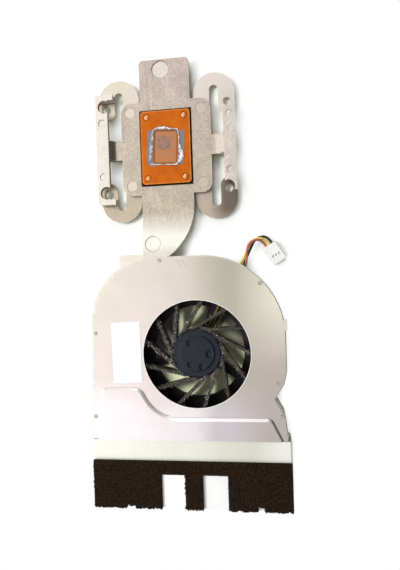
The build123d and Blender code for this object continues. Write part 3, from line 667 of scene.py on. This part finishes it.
rivet_metal, tree, shader = finish_of("rivet_aluminium", roughness=0.45, metallic=0.5)
grain = use(tree, mottle, PerMetre=2400, Contrast=1.8)
# Worn edges with a painted highlight on them.
worn_and_highlight = use(tree, edge_wear_and_highlight, Reach=0.2 * MM, Amount=0.7)
# Real grime with painted shade in corners and gaps.
dirt_and_shade = use(tree, grime_and_shade, Reach=0.5 * MM, Amount=0.8)
head = layered(
    tree, blend(tree, grain, rivet_shade, rivet_pale),
    # Painted highlight on the rivet heads on the left.
    (cast_worn_and_highlight, on_left(tree), 0.22),
    (cast_worn_and_highlight, worn_and_highlight, 1.0),
    (grime_and_shade_brown, dirt_and_shade, 1.0))
feed(tree, shader, Base_Color=head)
roughen(tree, shader, grain, depth=0.04 * MM, strength=0.5)
dress(rivet_metal, "spring_rivets")

# Motor bracket and what stands on it: a black moulded ring with spokes, held in the fan
# floor by small steel screws, and lighter and more violet on its far side. It carries the
# circuit board, the bearing and the stator. The rotor's cup, magnet and shaft turn round them.
plastic_black = (0.004, 0.004, 0.005, 1)
plastic_grey = (0.013, 0.012, 0.014, 1)
bracket_far_tint = (0.036, 0.027, 0.034, 1)
bracket_far_span = (-4 * MM, 7 * MM)
inside_finishes = (
    ("turned_steel", ("bracket_screws", "rotor_shaft", "rotor_yoke"),
     (0.36, 0.36, 0.37, 1), (0.56, 0.55, 0.54, 1), 1800, 2.0, 0.35, 0.8),
    ("bearing_bronze", ("bearing_sleeve",),
     (0.36, 0.22, 0.09, 1), (0.55, 0.36, 0.17, 1), 3200, 2.2, 0.5, 0.7),
    ("thrust_nylon", ("thrust_plate",),
     (0.72, 0.70, 0.65, 1), (0.84, 0.83, 0.79, 1), 1500, 1.6, 0.55),
    ("circuit_board", ("motor_board",),
     (0.015, 0.09, 0.03, 1), (0.03, 0.16, 0.055, 1), 1400, 2.0, 0.4),
    ("core_steel", ("stator_core",),
     (0.13, 0.13, 0.14, 1), (0.27, 0.26, 0.26, 1), 2600, 2.2, 0.45, 0.8),
    ("winding_copper", ("stator_windings",),
     (0.33, 0.10, 0.03, 1), (0.56, 0.20, 0.06, 1), 3600, 2.4, 0.35, 0.6),
    ("ferrite", ("magnet_ring",),
     (0.035, 0.035, 0.038, 1), (0.075, 0.073, 0.073, 1), 2400, 2.0, 0.65),
)

black_plastic, tree, shader = finish_of("black_plastic", roughness=0.55, gloss=0.15)
patches = use(tree, mottle, PerMetre=900, Contrast=2.0)
far_side = product(tree, beyond(tree, "Y", *bracket_far_span), scaled(tree, patches, 0.5, 1.0))
plastic = blend(tree, patches, plastic_black, plastic_grey)
feed(tree, shader, Base_Color=blend(tree, far_side, plastic, bracket_far_tint))
roughen(tree, shader, patches, depth=0.02 * MM, strength=0.4)
dress(black_plastic, "motor_bracket")


def two_tone(name, dark, light, per_metre, contrast, rough, metallic=0.0, relief=0.02 * MM, gloss=0.5):
    """A finish of two colours in small patches, for small plain pieces."""
    made, tree, shader = finish_of(name, rough, metallic, gloss)
    patches = use(tree, mottle, PerMetre=per_metre, Contrast=contrast)
    feed(tree, shader, Base_Color=blend(tree, patches, dark, light),
         Roughness=scaled(tree, patches, rough - 0.08, rough + 0.08))
    roughen(tree, shader, patches, relief, strength=0.4)
    return made


for name, worn_by, *values in inside_finishes:
    dress(two_tone(name, *values), *worn_by)

# Impeller: hub and blades moulded in one piece of dark blue-black plastic, pressed over
# the steel cup of the rotor. Dust has felted along the blades and round the hub.
hub_dark = (0.0045, 0.0055, 0.011, 1)
hub_light = (0.011, 0.013, 0.022, 1)
dust_dark = (0.034, 0.029, 0.022, 1)
dust_brown = (0.115, 0.100, 0.074, 1)
dust_pale = (0.74, 0.67, 0.54, 1)
hub_radius = 9.45 * MM
hub_edge_span = (0.97 * hub_radius, 1.04 * hub_radius)
hub_round = 0.8 * MM
hub_round_span = (7.6 * MM, 8.0 * MM)
blade_round = 0.1 * MM
blade_count = 13
blade_phase = math.radians(84.5)
blade_offset = 8.8 * MM
blade_start, blade_end = 3.6 * MM, 24.6 * MM
blade_top = 7.8 * MM
clump_size = 0.26 * MM
clumps_per_blade = 230
clump_crowding = 1.2
clump_scatter = 0.42
clump_sink = 0.4
clump_squash, clump_bulge = (0.5, 1.0), (0.45, 1.2)
clumps_round_hub = 420
hub_dust_reach = (0.05, 0.9)
hub_dust_drop = (0.3, 1.6)


def from_axis(tree):
    """How far a place lies from the fan's axis."""
    return vector_maths(tree, "LENGTH", vector_maths(tree, "MULTIPLY", here(tree), (1, 1, 0)))


def make_axis_distance():
    """The distance from the fan's axis, for the finishes that change with it."""
    tree, _, distance = effect("axis_distance", (), "Distance")
    join(tree, from_axis(tree), distance)
    return tree


axis_distance = make_axis_distance()

impeller_plastic, tree, shader = finish_of("impeller_plastic", gloss=0.22)
moulded = use(tree, mottle, PerMetre=420, Contrast=1.8)
speckle = use(tree, mottle, PerMetre=2600, Contrast=3.0)
reach = use(tree, axis_distance)
on_blades = between(tree, reach, *hub_edge_span)
dusty = product(tree, on_blades, between(tree, speckle, 0.1, 0.8, 0.3, 1.0))
dust = blend(tree, speckle, dust_dark, dust_brown)
plastic = layered(tree, blend(tree, moulded, hub_dark, hub_light), (dust, dusty, 0.8))
feed(tree, shader, Base_Color=plastic, Roughness=scaled(tree, dusty, 0.36, 0.85))
relief = roughen(tree, shader, speckle, depth=0.03 * MM, strength=0.35)
edge_radius = between(tree, reach, *hub_round_span, hub_round, blade_round)
softened = add(tree, "ShaderNodeBevel", {"samples": 8}, Radius=edge_radius)
feed(tree, relief, Normal=softened.outputs[0])
dress(impeller_plastic, "impeller")

dust_felt = two_tone("dust_felt", dust_brown, dust_pale, 1300, 4.6, 0.9, relief=0.08 * MM)
random.seed(5)
clump_shape = bmesh.new()
bmesh.ops.create_icosphere(clump_shape, subdivisions=1, radius=1.0)
clump_points = [v.co.copy() for v in clump_shape.verts]
clump_faces = [[v.index for v in f.verts] for f in clump_shape.faces]
clump_shape.free()


def clump(vertices, faces, centre, size):
    """Adds one small uneven clump of dust."""
    first = len(vertices)
    squash = random.uniform(*clump_squash)
    for point in clump_points:
        bulge = size * random.uniform(*clump_bulge)
        vertices.append(centre + bulge * Vector((point.x, point.y, point.z * squash)))
    faces.extend([[first + i for i in face] for face in clump_faces])


vertices = []
faces = []
for blade in range(blade_count):
    turn = blade_phase - math.tau * blade / blade_count
    thickness = random.uniform(0.6, 1.2)
    for _ in range(clumps_per_blade):
        along = blade_start + (blade_end - blade_start) * random.random() ** clump_crowding
        aside = blade_offset + random.gauss(0, clump_scatter) * MM
        low = random.uniform(0.0, clump_sink) * MM
        spot = Matrix.Rotation(turn, 3, "Z") @ Vector((along, aside, blade_top - low))
        clump(vertices, faces, spot, clump_size * thickness * random.uniform(0.3, 1.0))
for _ in range(clumps_round_hub):
    turn = random.uniform(0, math.tau)
    reach = hub_radius + random.uniform(*hub_dust_reach) * MM
    low = random.uniform(*hub_dust_drop) * MM
    spot = Matrix.Rotation(turn, 3, "Z") @ Vector((reach, 0, blade_top - low))
    clump(vertices, faces, spot, clump_size * random.uniform(0.4, 1.0))
blade_dust = new_piece("blade_dust", vertices, faces, "rotor", dust_felt)

# Leads and connector: three thin insulated wires come off the motor's board, leave through
# a gate in the wall, bend over and end in a small white moulded plug with three contacts.
lead_diameter = 0.95 * MM
leads = {
    "lead_yellow": ("insulation_yellow", (0.70, 0.50, 0.07, 1), (0.88, 0.74, 0.20, 1), 46.4 * MM, [
        (3.1, 7.95, 2.1), (8.4, 17.2, 2.1), (14.2, 28.0, 2.1), (17.6, 33.8, 2.2), (19.8, 38.3, 2.8),
        (21.5, 41.5, 3.5), (24.46, 42.74, 3.4), (26.93, 41.94, 2.1), (28.12, 40.03, 1.6)]),
    "lead_black": ("insulation_black", (0.006, 0.006, 0.005, 1), (0.018, 0.017, 0.014, 1), 47.0 * MM, [
        (4.1, 7.4, 2.1), (9.6, 16.6, 2.1), (15.3, 27.4, 2.1), (18.5, 33.2, 2.1), (21.0, 38.6, 2.1),
        (22.8, 42.1, 2.2), (25.5, 43.4, 2.1), (27.99, 42.6, 1.8), (29.18, 40.69, 1.6)]),
    "lead_red": ("insulation_red", (0.42, 0.10, 0.06, 1), (0.60, 0.18, 0.11, 1), 46.7 * MM, [
        (5.1, 6.85, 2.1), (10.8, 16.0, 2.1), (16.4, 26.8, 2.1), (19.4, 32.6, 2.6), (19.6, 37.2, 4.4),
        (20.5, 40.7, 5.4), (23.4, 42.1, 4.8), (25.87, 41.28, 2.6), (27.06, 39.37, 1.7)]),
}
plug_dark = (0.80, 0.79, 0.77, 1)
plug_light = (0.90, 0.895, 0.88, 1)
brass_dark = (0.50, 0.40, 0.20, 1)
brass_light = (0.72, 0.60, 0.33, 1)
# Colour and reach of painted shade on the leads inside the fan.
lead_shade_brown = (0.030, 0.018, 0.012, 1)
lead_shade_span = (27 * MM, 20 * MM)


def insulation(name, dark, light):
    """Coloured wire cover, with painted shade where it lies inside the fan."""
    made, tree, shader = finish_of(name, roughness=0.4)
    patches = use(tree, mottle, PerMetre=1200, Contrast=1.8)
    inside_shade = between(tree, use(tree, axis_distance), *lead_shade_span)
    cover = layered(tree, blend(tree, patches, dark, light), (lead_shade_brown, inside_shade, 0.85))
    feed(tree, shader, Base_Color=cover)
    roughen(tree, shader, patches, depth=0.02 * MM, strength=0.4)
    return made


dress(two_tone("connector_plastic", plug_dark, plug_light, 500, 1.6, 0.45), "lead_connector")
dress(two_tone("contact_brass", brass_dark, brass_light, 2600, 2.0, 0.35, 0.8), "connector_contacts")
for name, (slot, dark, light, length, route) in leads.items():
    curve = bpy.data.curves.new(name + "_wire", "CURVE")
    curve.dimensions = "3D"
    curve.bevel_depth = lead_diameter / 2
    curve.bevel_resolution = 4
    curve.resolution_u = 10
    curve.use_fill_caps = True
    line = curve.splines.new("NURBS")
    line.points.add(len(route) - 1)
    for point, place in zip(line.points, route):
        point.co = (*[value * MM for value in place], 1)
    line.order_u = 3
    line.use_endpoint_u = True
    curve.materials.append(insulation(slot, dark, light))
    wire = bpy.data.objects.new(name + "_wire", curve)
    scene.collection.objects.link(wire)
    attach(wire, "module")
    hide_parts(name)

# Fan cover and its label: the cover is stamped from aluminium sheet, with a punched inlet and
# a pressed-up area at the outlet, and staked on the wall's pips. Painted highlights brighten its
# slopes, its lower left and its upper right rim; painted shade darkens its right-facing crease,
# its right half and its lower right. The label is plain paper.
sheet_pink = (0.66, 0.575, 0.56, 1)
sheet_green = (0.60, 0.56, 0.455, 1)
# Colour of real stains on the cover and of painted shade on its lower right.
sheet_stain_and_shade = (0.50, 0.445, 0.42, 1)
# Colour of the painted highlight on the cover's lower left.
sheet_violet_highlight = (0.82, 0.765, 0.81, 1)
# Colours of painted shade on the cover's right half; the first also colours the scuffs.
sheet_shade_and_scuff = (0.30, 0.285, 0.185, 1)
sheet_violet_shade = (0.43, 0.37, 0.425, 1)
# Colour of the painted highlight on the cover's upper right rim.
sheet_rim_highlight = (0.85, 0.83, 0.67, 1)
# Colour of cut edges, wear and painted highlights.
sheet_cut_and_highlight = (0.93, 0.91, 0.88, 1)
# Colour of painted shade on the right-facing slope of the pressed area.
sheet_slope_shade = (0.07, 0.06, 0.05, 1)
paper_shade = (0.84, 0.84, 0.83, 1)
paper_white = (0.92, 0.92, 0.915, 1)
lip_span = (20.37 * MM, 20.282 * MM)
violet_down = (-8 * MM, -22 * MM)
violet_left, violet_right = 12 * MM, 26 * MM
green_up, green_across = (-6 * MM, 16 * MM), (-4 * MM, 24 * MM)
# Painted shade on the cover's lower right: how far down it reaches.
low_right_shade_down = (2 * MM, -12 * MM)
rim_highlight_up, rim_highlight_across = (-3 * MM, 18 * MM), (15 * MM, 31 * MM)
# Painted shade on the cover's right half: where its edge lies, wanders and fades at the end.
high_shade_edge, low_shade_edge = (-2.5 * MM, 13 * MM), (-0.5 * MM, 6.5 * MM)
shade_wobble = 9 * MM
shade_end = (14 * MM, 30 * MM)
slope_span = (0.97, 0.85)
right_slope_span = (0.2, 0.5)
# Painted shade on the right-facing slope: its height on the cover.
slope_shade_span = (10.4 * MM, 10.1 * MM)
scuff_size = (0.6 * MM, 3.4 * MM)
scuff_soft = 0.3 * MM
cover_scuffs = ((Vector((-5.2 * MM, 33.7 * MM, 0)), 0.5), (Vector((-3.4 * MM, 34.0 * MM, 0)), 0.75))

cover_sheet, tree, shader = finish_of("cover_sheet", metallic=0.55)
tint = use(tree, mottle, PerMetre=24, Contrast=3.2)
stain = use(tree, mottle, PerMetre=90, Contrast=2.2)
fine = use(tree, mottle, PerMetre=5200, Contrast=1.8)
lines = use(tree, scratches, PerMetre=5200, Turn=0.1, Amount=0.05)
# Worn edges with a painted highlight on them.
worn_and_highlight = use(tree, edge_wear_and_highlight, Reach=0.3 * MM, Amount=0.9)
# Real grime with painted shade in corners and gaps.
dirt_and_shade = use(tree, grime_and_shade, Reach=0.4 * MM, Amount=0.7)
slope = sides(tree, facing(tree))
pressed = between(tree, slope["Z"], *slope_span)
lip = between(tree, use(tree, axis_distance), *lip_span)
# Painted highlight on the pressed slopes, with the bright cut lip, wear and scratches.
cut_wear_and_highlight = either(tree, lines, worn_and_highlight, product(tree, pressed, 0.65), lip)
low = beyond(tree, "Y", *violet_down)
# Painted highlight on the cover's lower left.
low_left_highlight = product(tree, low, beyond(tree, "X", violet_right, violet_left))
# Painted shade on the cover's lower right.
low_right_shade = product(tree, beyond(tree, "Y", *low_right_shade_down), beyond(tree, "X", violet_left, violet_right))
top_right = product(tree, beyond(tree, "Y", *green_up), beyond(tree, "X", *green_across))
# Painted highlight on the cover's upper right rim.
rim_highlight = product(tree, beyond(tree, "Y", *rim_highlight_up), beyond(tree, "X", *rim_highlight_across))
# Painted shade on the cover's right half, with a wandering edge.
wobble = product(tree, maths(tree, "SUBTRACT", tint, 0.5), shade_wobble, without(tree, low))
across = maths(tree, "ADD", sides(tree, here(tree))["X"], wobble)
shade_edge_span = [scaled(tree, low, high, deep) for high, deep in zip(high_shade_edge, low_shade_edge)]
right_end = beyond(tree, "X", *shade_end)
right_half_shade = product(tree, between(tree, across, *shade_edge_span), scaled(tree, right_end, 1, 0.25))
# Painted shade on the right-facing slope of the pressed area.
crease = product(tree, pressed, between(tree, slope["X"], *right_slope_span),
                 beyond(tree, "Z", *slope_shade_span), between(tree, right_end, 0, 0.5, 0.25, 1))
scuffs = [oblong_at(tree, place, scuff_size, scuff_soft, turn) for place, turn in cover_scuffs]
sheet = layered(
    tree, blend(tree, tint, sheet_pink, sheet_green),
    (sheet_violet_highlight, low_left_highlight, 0.8),
    (sheet_green, top_right, 0.6),
    (sheet_stain_and_shade, low_right_shade, 0.9),
    (sheet_stain_and_shade, stain, 0.35),
    (sheet_stain_and_shade, fine, 0.2),
    (blend(tree, low, sheet_shade_and_scuff, sheet_violet_shade), right_half_shade, 0.5),
    (sheet_rim_highlight, rim_highlight, 0.85),
    (sheet_cut_and_highlight, cut_wear_and_highlight, 0.9),
    (sheet_slope_shade, crease, 0.85),
    *[(sheet_shade_and_scuff, scuff, 0.6) for scuff in scuffs],
    (grime_and_shade_brown, dirt_and_shade, 1.0))
feed(tree, shader, Base_Color=sheet, Roughness=scaled(tree, fine, 0.36, 0.48))
roughen(tree, shader, fine, depth=0.015 * MM, strength=0.4)
dress(cover_sheet, "fan_cover")
dress(two_tone("label_paper", paper_shade, paper_white, 1500, 1.8, 0.8), "cover_label")

# Fin outlet: folded aluminium fins under a pale sheet that is bent down over both ends.
# A strip of dark fibrous foam is glued on the sheet, its outer edge torn by hand.
fin_light = (0.80, 0.79, 0.72, 1)
fin_dark = (0.66, 0.66, 0.57, 1)
fin_white = (0.92, 0.92, 0.91, 1)
foam_dark = (0.0055, 0.0036, 0.0028, 1)
foam_brown = (0.052, 0.032, 0.020, 1)
fibre_brown = (0.15, 0.088, 0.048, 1)
foam_gloss = 0.12
# Painted shade on the fin sheet's right part, and a painted highlight at its right end.
fin_shade_span = (1 * MM, 8 * MM)
fin_end_highlight_span = (20 * MM, 31 * MM)
fin_white_span = (-43 * MM, -43.43 * MM)
foam_low, foam_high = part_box("foam_seal")
foam_pitch = 0.3 * MM
foam_cuts = ((-14.5 * MM, -5.6 * MM), (1.1 * MM, 10.4 * MM))
foam_cut_end = foam_low.y + 13.3 * MM
foam_nicks = ((-26.3 * MM, 1.7 * MM, 1.1 * MM), (22.2 * MM, 1.1 * MM, 1.8 * MM))
foam_tears = ((0.5 * MM, 0.45, (0.0, 4.0)), (0.45 * MM, 1.6, (3.0, 0.0)), (0.25 * MM, 4.0, (6.0, 0.0)))
foam_frays = ((0.16 * MM, 1.1, 0.0), (0.1 * MM, 3.5, 2.0))
foam_inset = 0.2 * MM
foam_margin = 0.25 * MM
foam_sag = 0.28 * MM
foam_shake = 0.13 * MM
shake_step, sag_step = 0.9, 0.5
fibre_count = 9000
fibre_length = 0.9 * MM
fibre_width = 0.05 * MM
fibre_rise = (0.1, 0.4)
fibre_arch = (0.1, 0.3)

fin_sheet, tree, shader = finish_of("fin_sheet", metallic=0.4)
stain = use(tree, mottle, PerMetre=60, Contrast=2.2)
lines = use(tree, scratches, PerMetre=5200, Turn=0.02, Amount=0.18)
# Worn edges with a painted highlight on them.
worn_and_highlight = use(tree, edge_wear_and_highlight, Reach=0.25 * MM, Amount=0.8)
# Real grime with painted shade in corners and gaps.
dirt_and_shade = use(tree, grime_and_shade, Reach=0.5 * MM, Amount=0.4)
sheet = layered(
    tree, blend(tree, stain, fin_dark, fin_light),
    # Painted shade on the fin sheet's right part, then a painted highlight at its right end.
    (fin_dark, beyond(tree, "X", *fin_shade_span), 0.75),
    (sheet_cut_and_highlight, beyond(tree, "X", *fin_end_highlight_span), 0.9),
    (fin_white, beyond(tree, "Y", *fin_white_span), 1.0),
    (sheet_cut_and_highlight, either(tree, lines, worn_and_highlight), 1.0),
    (grime_and_shade_brown, dirt_and_shade, 1.0))
feed(tree, shader, Base_Color=sheet, Roughness=scaled(tree, stain, 0.36, 0.5))
roughen(tree, shader, lines, depth=0.01 * MM, strength=0.5)
dress(fin_sheet, "fin_stack", "fin_cover")

foam, tree, shader = finish_of("foam", roughness=0.95, gloss=foam_gloss)
cells = use(tree, mottle, PerMetre=1500, Contrast=4.2)
fine = use(tree, mottle, PerMetre=6500, Contrast=2.4)
feed(tree, shader, Base_Color=blend(tree, product(tree, cells, fine), foam_dark, foam_brown))
roughen(tree, shader, cells, depth=0.2 * MM, strength=0.9)
foam_fibre = two_tone("foam_fibre", foam_dark, fibre_brown, 2600, 4.0, 0.9, gloss=foam_gloss)


def in_foam(x, y):
    """True inside the strip's torn outline and outside its cut-outs and nicks."""
    tear = sum(depth * waver(x / MM * per_mm, *row) for depth, per_mm, row in foam_tears)
    fray = sum(depth * waver(row, y / MM * per_mm, 8.0) for depth, per_mm, row in foam_frays)
    if y < foam_low.y + foam_inset + tear:
        return False
    if not foam_low.x + foam_margin + fray < x < foam_high.x - foam_margin + fray:
        return False
    if any(low + fray < x < high + fray and y < foam_cut_end for low, high in foam_cuts):
        return False
    return not any(abs(x - nick) <= half + fray and y <= foam_low.y + depth + tear
                   for nick, half, depth in foam_nicks)


columns = int((foam_high.x - foam_low.x) / foam_pitch)
rows = int((foam_high.y - foam_low.y) / foam_pitch)
filled = {(i, j) for i in range(columns) for j in range(rows)
          if in_foam(foam_low.x + (i + 0.5) * foam_pitch, foam_low.y + (j + 0.5) * foam_pitch)}
foam_cells = sorted(filled)
corner_at = {}
vertices = []
faces = []


def held(place, margin):
    """Moves a place in from the edges of the foam's box."""
    for axis in range(2):
        place[axis] = min(max(place[axis], foam_low[axis] + margin), foam_high[axis] - margin)
    place.z = min(place.z, foam_high.z - margin)
    return place


def foam_corner(i, j, upper):
    """The number of a foam corner, made when it is first asked for."""
    if (i, j, upper) not in corner_at:
        x, y = i * shake_step, j * shake_step
        shake = Vector((waver(x, y, 1.0), waver(x, y, 5.0), 0))
        z = foam_low.z
        if upper:
            z = foam_high.z - foam_sag + 0.9 * foam_sag * waver(i * sag_step, j * sag_step, 9.0)
        place = Vector((foam_low.x + i * foam_pitch, foam_low.y + j * foam_pitch, z)) + foam_shake * shake
        corner_at[(i, j, upper)] = len(vertices)
        vertices.append(held(place, 0))
    return corner_at[(i, j, upper)]


for i, j in foam_cells:
    ring = ((i, j), (i + 1, j), (i + 1, j + 1), (i, j + 1))
    faces.append([foam_corner(*corner, True) for corner in ring])
    faces.append([foam_corner(*corner, False) for corner in reversed(ring)])
    beside = ((i, j - 1), (i + 1, j), (i, j + 1), (i - 1, j))
    for first, second, neighbour in zip(ring, ring[1:] + ring[:1], beside):
        if neighbour not in filled:
            around = ((*first, False), (*second, False), (*second, True), (*first, True))
            faces.append([foam_corner(*corner) for corner in around])
foam_strip = new_piece("foam_strip", vertices, faces, "module", foam)
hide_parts("foam_seal")

random.seed(11)
vertices = []
faces = []
for _ in range(fibre_count):
    i, j = random.choice(foam_cells)
    root = Vector((foam_low.x + (i + random.random()) * foam_pitch,
                   foam_low.y + (j + random.random()) * foam_pitch, foam_high.z - 1.6 * foam_sag))
    heading = random.uniform(0, math.tau)
    lean = Vector((math.cos(heading), math.sin(heading), 0)) * fibre_length * random.uniform(0.3, 1.0)
    tip = root + lean + Vector((0, 0, random.uniform(*fibre_rise) * MM))
    middle = (root + tip) / 2 + Vector((0, 0, random.uniform(*fibre_arch) * MM))
    root, middle, tip = [held(place, fibre_width) for place in (root, middle, tip)]
    aside = Vector((-math.sin(heading), math.cos(heading), 0)) * fibre_width / 2
    first = len(vertices)
    for place in (root, middle):
        vertices += [place - aside, place + aside, place + Vector((0, 0, fibre_width))]
    vertices.append(tip)
    for a, b in ((0, 1), (1, 2), (2, 0)):
        faces.append((first + a, first + b, first + 3 + b, first + 3 + a))
        faces.append((first + 3 + a, first + 3 + b, first + 6))
    faces.append((first + 2, first + 1, first))
foam_fibres = new_piece("foam_fibres", vertices, faces, "module", foam_fibre)

# The table, the light and the camera: a white table top that is dim under the fan, a soft lamp
# like a window on the left, a weak one beyond the tab, and a camera that looks down as the
# photograph does.
half_floor = 0.75
floor_drop = 0.05 * MM
table_white = (0.84, 0.87, 0.74, 1)
table_shade = (0.80, 0.83, 0.71, 1)
# Painted shade on the table under the fan: lightest near, darker across it and on its left.
fan_shade_light = (0.92, 0.98, 0.64, 1)
fan_shade_middle = (0.70, 0.75, 0.48, 1)
fan_shade_dark = (0.10, 0.105, 0.08, 1)
fan_shade_left = (0.20, 0.165, 0.17, 1)
fan_shade_span = (24 * MM, 30 * MM)
fan_across = (0.707, 0.707, 0)
fan_middle_span = (-5 * MM, 12 * MM)
fan_dark_span = (11.5 * MM, 15.5 * MM)
fan_left_span = (-7 * MM, -11 * MM)
fan_left_rise = (-5.5 * MM, -1.5 * MM)
shade_reach = 6 * MM
shade_lean = (-0.45, 0.2, 0.87)
shade_span = (22 * MM, 48 * MM)
shade_far = (0.10, 0.45)
shade_near = (0.46, 0.97)
glow_shaded = 0.02
lamp_places = {
    "key_lamp": ((-0.30, 0.10, 0.40), 0.20, 2.5, False),
    "edge_lamp": ((-0.04, 0.42, 0.24), 0.20, 0.5, True),
}
lamp_aim = Vector((0, 0.03, 0))
ambient = 0.25
window_side = (-0.75, -0.15, 0.64)
window_span = (0.3, 0.9)
window_bright = 2.45
window_least = 0.3
window_fall = 1.5
photo_height = 570
focal_pixels = 435.5
camera_place = (22.83 * MM, 28.24 * MM, 168.95 * MM)
camera_turn = (-1.16, 7.32, -1.94)

scene.view_settings.view_transform = "Standard"

table_top, tree, shader = finish_of("table_top", roughness=0.8)
patches = use(tree, mottle, PerMetre=30, Contrast=0.5)
out_of_fan = between(tree, from_axis(tree), *fan_shade_span)
across_fan = vector_maths(tree, "DOT_PRODUCT", here(tree), fan_across)
fan_side = product(tree, beyond(tree, "X", *fan_left_span), beyond(tree, "Y", *fan_left_rise))
# Painted shade on the table under the fan.
table_colour = layered(
    tree, fan_shade_light,
    (fan_shade_middle, between(tree, across_fan, *fan_middle_span), 1.0),
    (fan_shade_dark, between(tree, across_fan, *fan_dark_span), 1.0),
    (fan_shade_left, fan_side, 1.0),
    (blend(tree, patches, table_shade, table_white), out_of_fan, 1.0))
feed(tree, shader, Base_Color=table_colour)
# Painted shadow: the table's white glow is cut back where occlusion leaning towards the key lamp finds
# the object, more strongly towards the tab, and cut out under the fan.
lean = add(tree, "ShaderNodeCombineXYZ", X=shade_lean[0], Y=shade_lean[1], Z=shade_lean[2]).outputs[0]
shadow_occlusion = add(tree, "ShaderNodeAmbientOcclusion", {"samples": 16}, Distance=shade_reach, Normal=lean)
towards_tab = beyond(tree, "Y", *shade_span)
edges = [scaled(tree, towards_tab, far, near) for far, near in zip(shade_far, shade_near)]
open_share = between(tree, shadow_occlusion.outputs["AO"], *edges, glow_shaded, 1.0)
seen = tree.nodes.new("ShaderNodeLightPath").outputs["Is Camera Ray"]
glow = add(tree, "ShaderNodeEmission", Color=(1, 1, 1, 1), Strength=1.0)
mixed = add(tree, "ShaderNodeMixShader")
glowing = product(tree, seen, open_share, out_of_fan)
for socket, value in zip(mixed.inputs, (glowing, shader.outputs[0], glow.outputs[0])):
    join(tree, value, socket)
feed(tree, tree.nodes["Material Output"], Surface=mixed.outputs[0])
corners = ((-1, -1), (1, -1), (1, 1), (-1, 1))
mesh = bpy.data.meshes.new("table")
mesh.from_pydata([(x * half_floor, y * half_floor, -floor_drop) for x, y in corners], [], [(0, 1, 2, 3)])
mesh.materials.append(table_top)
table = bpy.data.objects.new("table", mesh)
scene.collection.objects.link(table)

world = bpy.data.worlds.new("studio")
scene.world = world
world.use_nodes = True
tree = world.node_tree
path = tree.nodes.new("ShaderNodeLightPath").outputs
outward = tree.nodes.new("ShaderNodeTexCoord").outputs["Generated"]
towards_window = between(tree, vector_maths(tree, "DOT_PRODUCT", outward, window_side), *window_span)
window_light = product(tree, maths(tree, "POWER", towards_window, window_fall), window_bright)
unseen = scaled(tree, path["Is Glossy Ray"], ambient, either(tree, window_light, window_least))
feed(tree, tree.nodes["Background"], Color=(1, 1, 1, 1),
     Strength=scaled(tree, path["Is Camera Ray"], unseen, 1.0))

for name, (place, size, power, mirrored) in lamp_places.items():
    lamp = bpy.data.lights.new(name, "AREA")
    lamp.shape = "DISK"
    lamp.size = size
    lamp.energy = power
    holder = bpy.data.objects.new(name, lamp)
    holder.location = place
    holder.visible_glossy = mirrored
    holder.rotation_euler = (lamp_aim - Vector(place)).to_track_quat("-Z", "Y").to_euler()
    scene.collection.objects.link(holder)

camera = bpy.data.objects.new("camera", bpy.data.cameras.new("camera"))
camera.data.sensor_width = 36
camera.data.lens = camera.data.sensor_width * focal_pixels / photo_height
camera.data.clip_start = 0.005
camera.location = camera_place
camera.rotation_euler = [math.radians(angle) for angle in camera_turn]
scene.collection.objects.link(camera)
scene.camera = camera
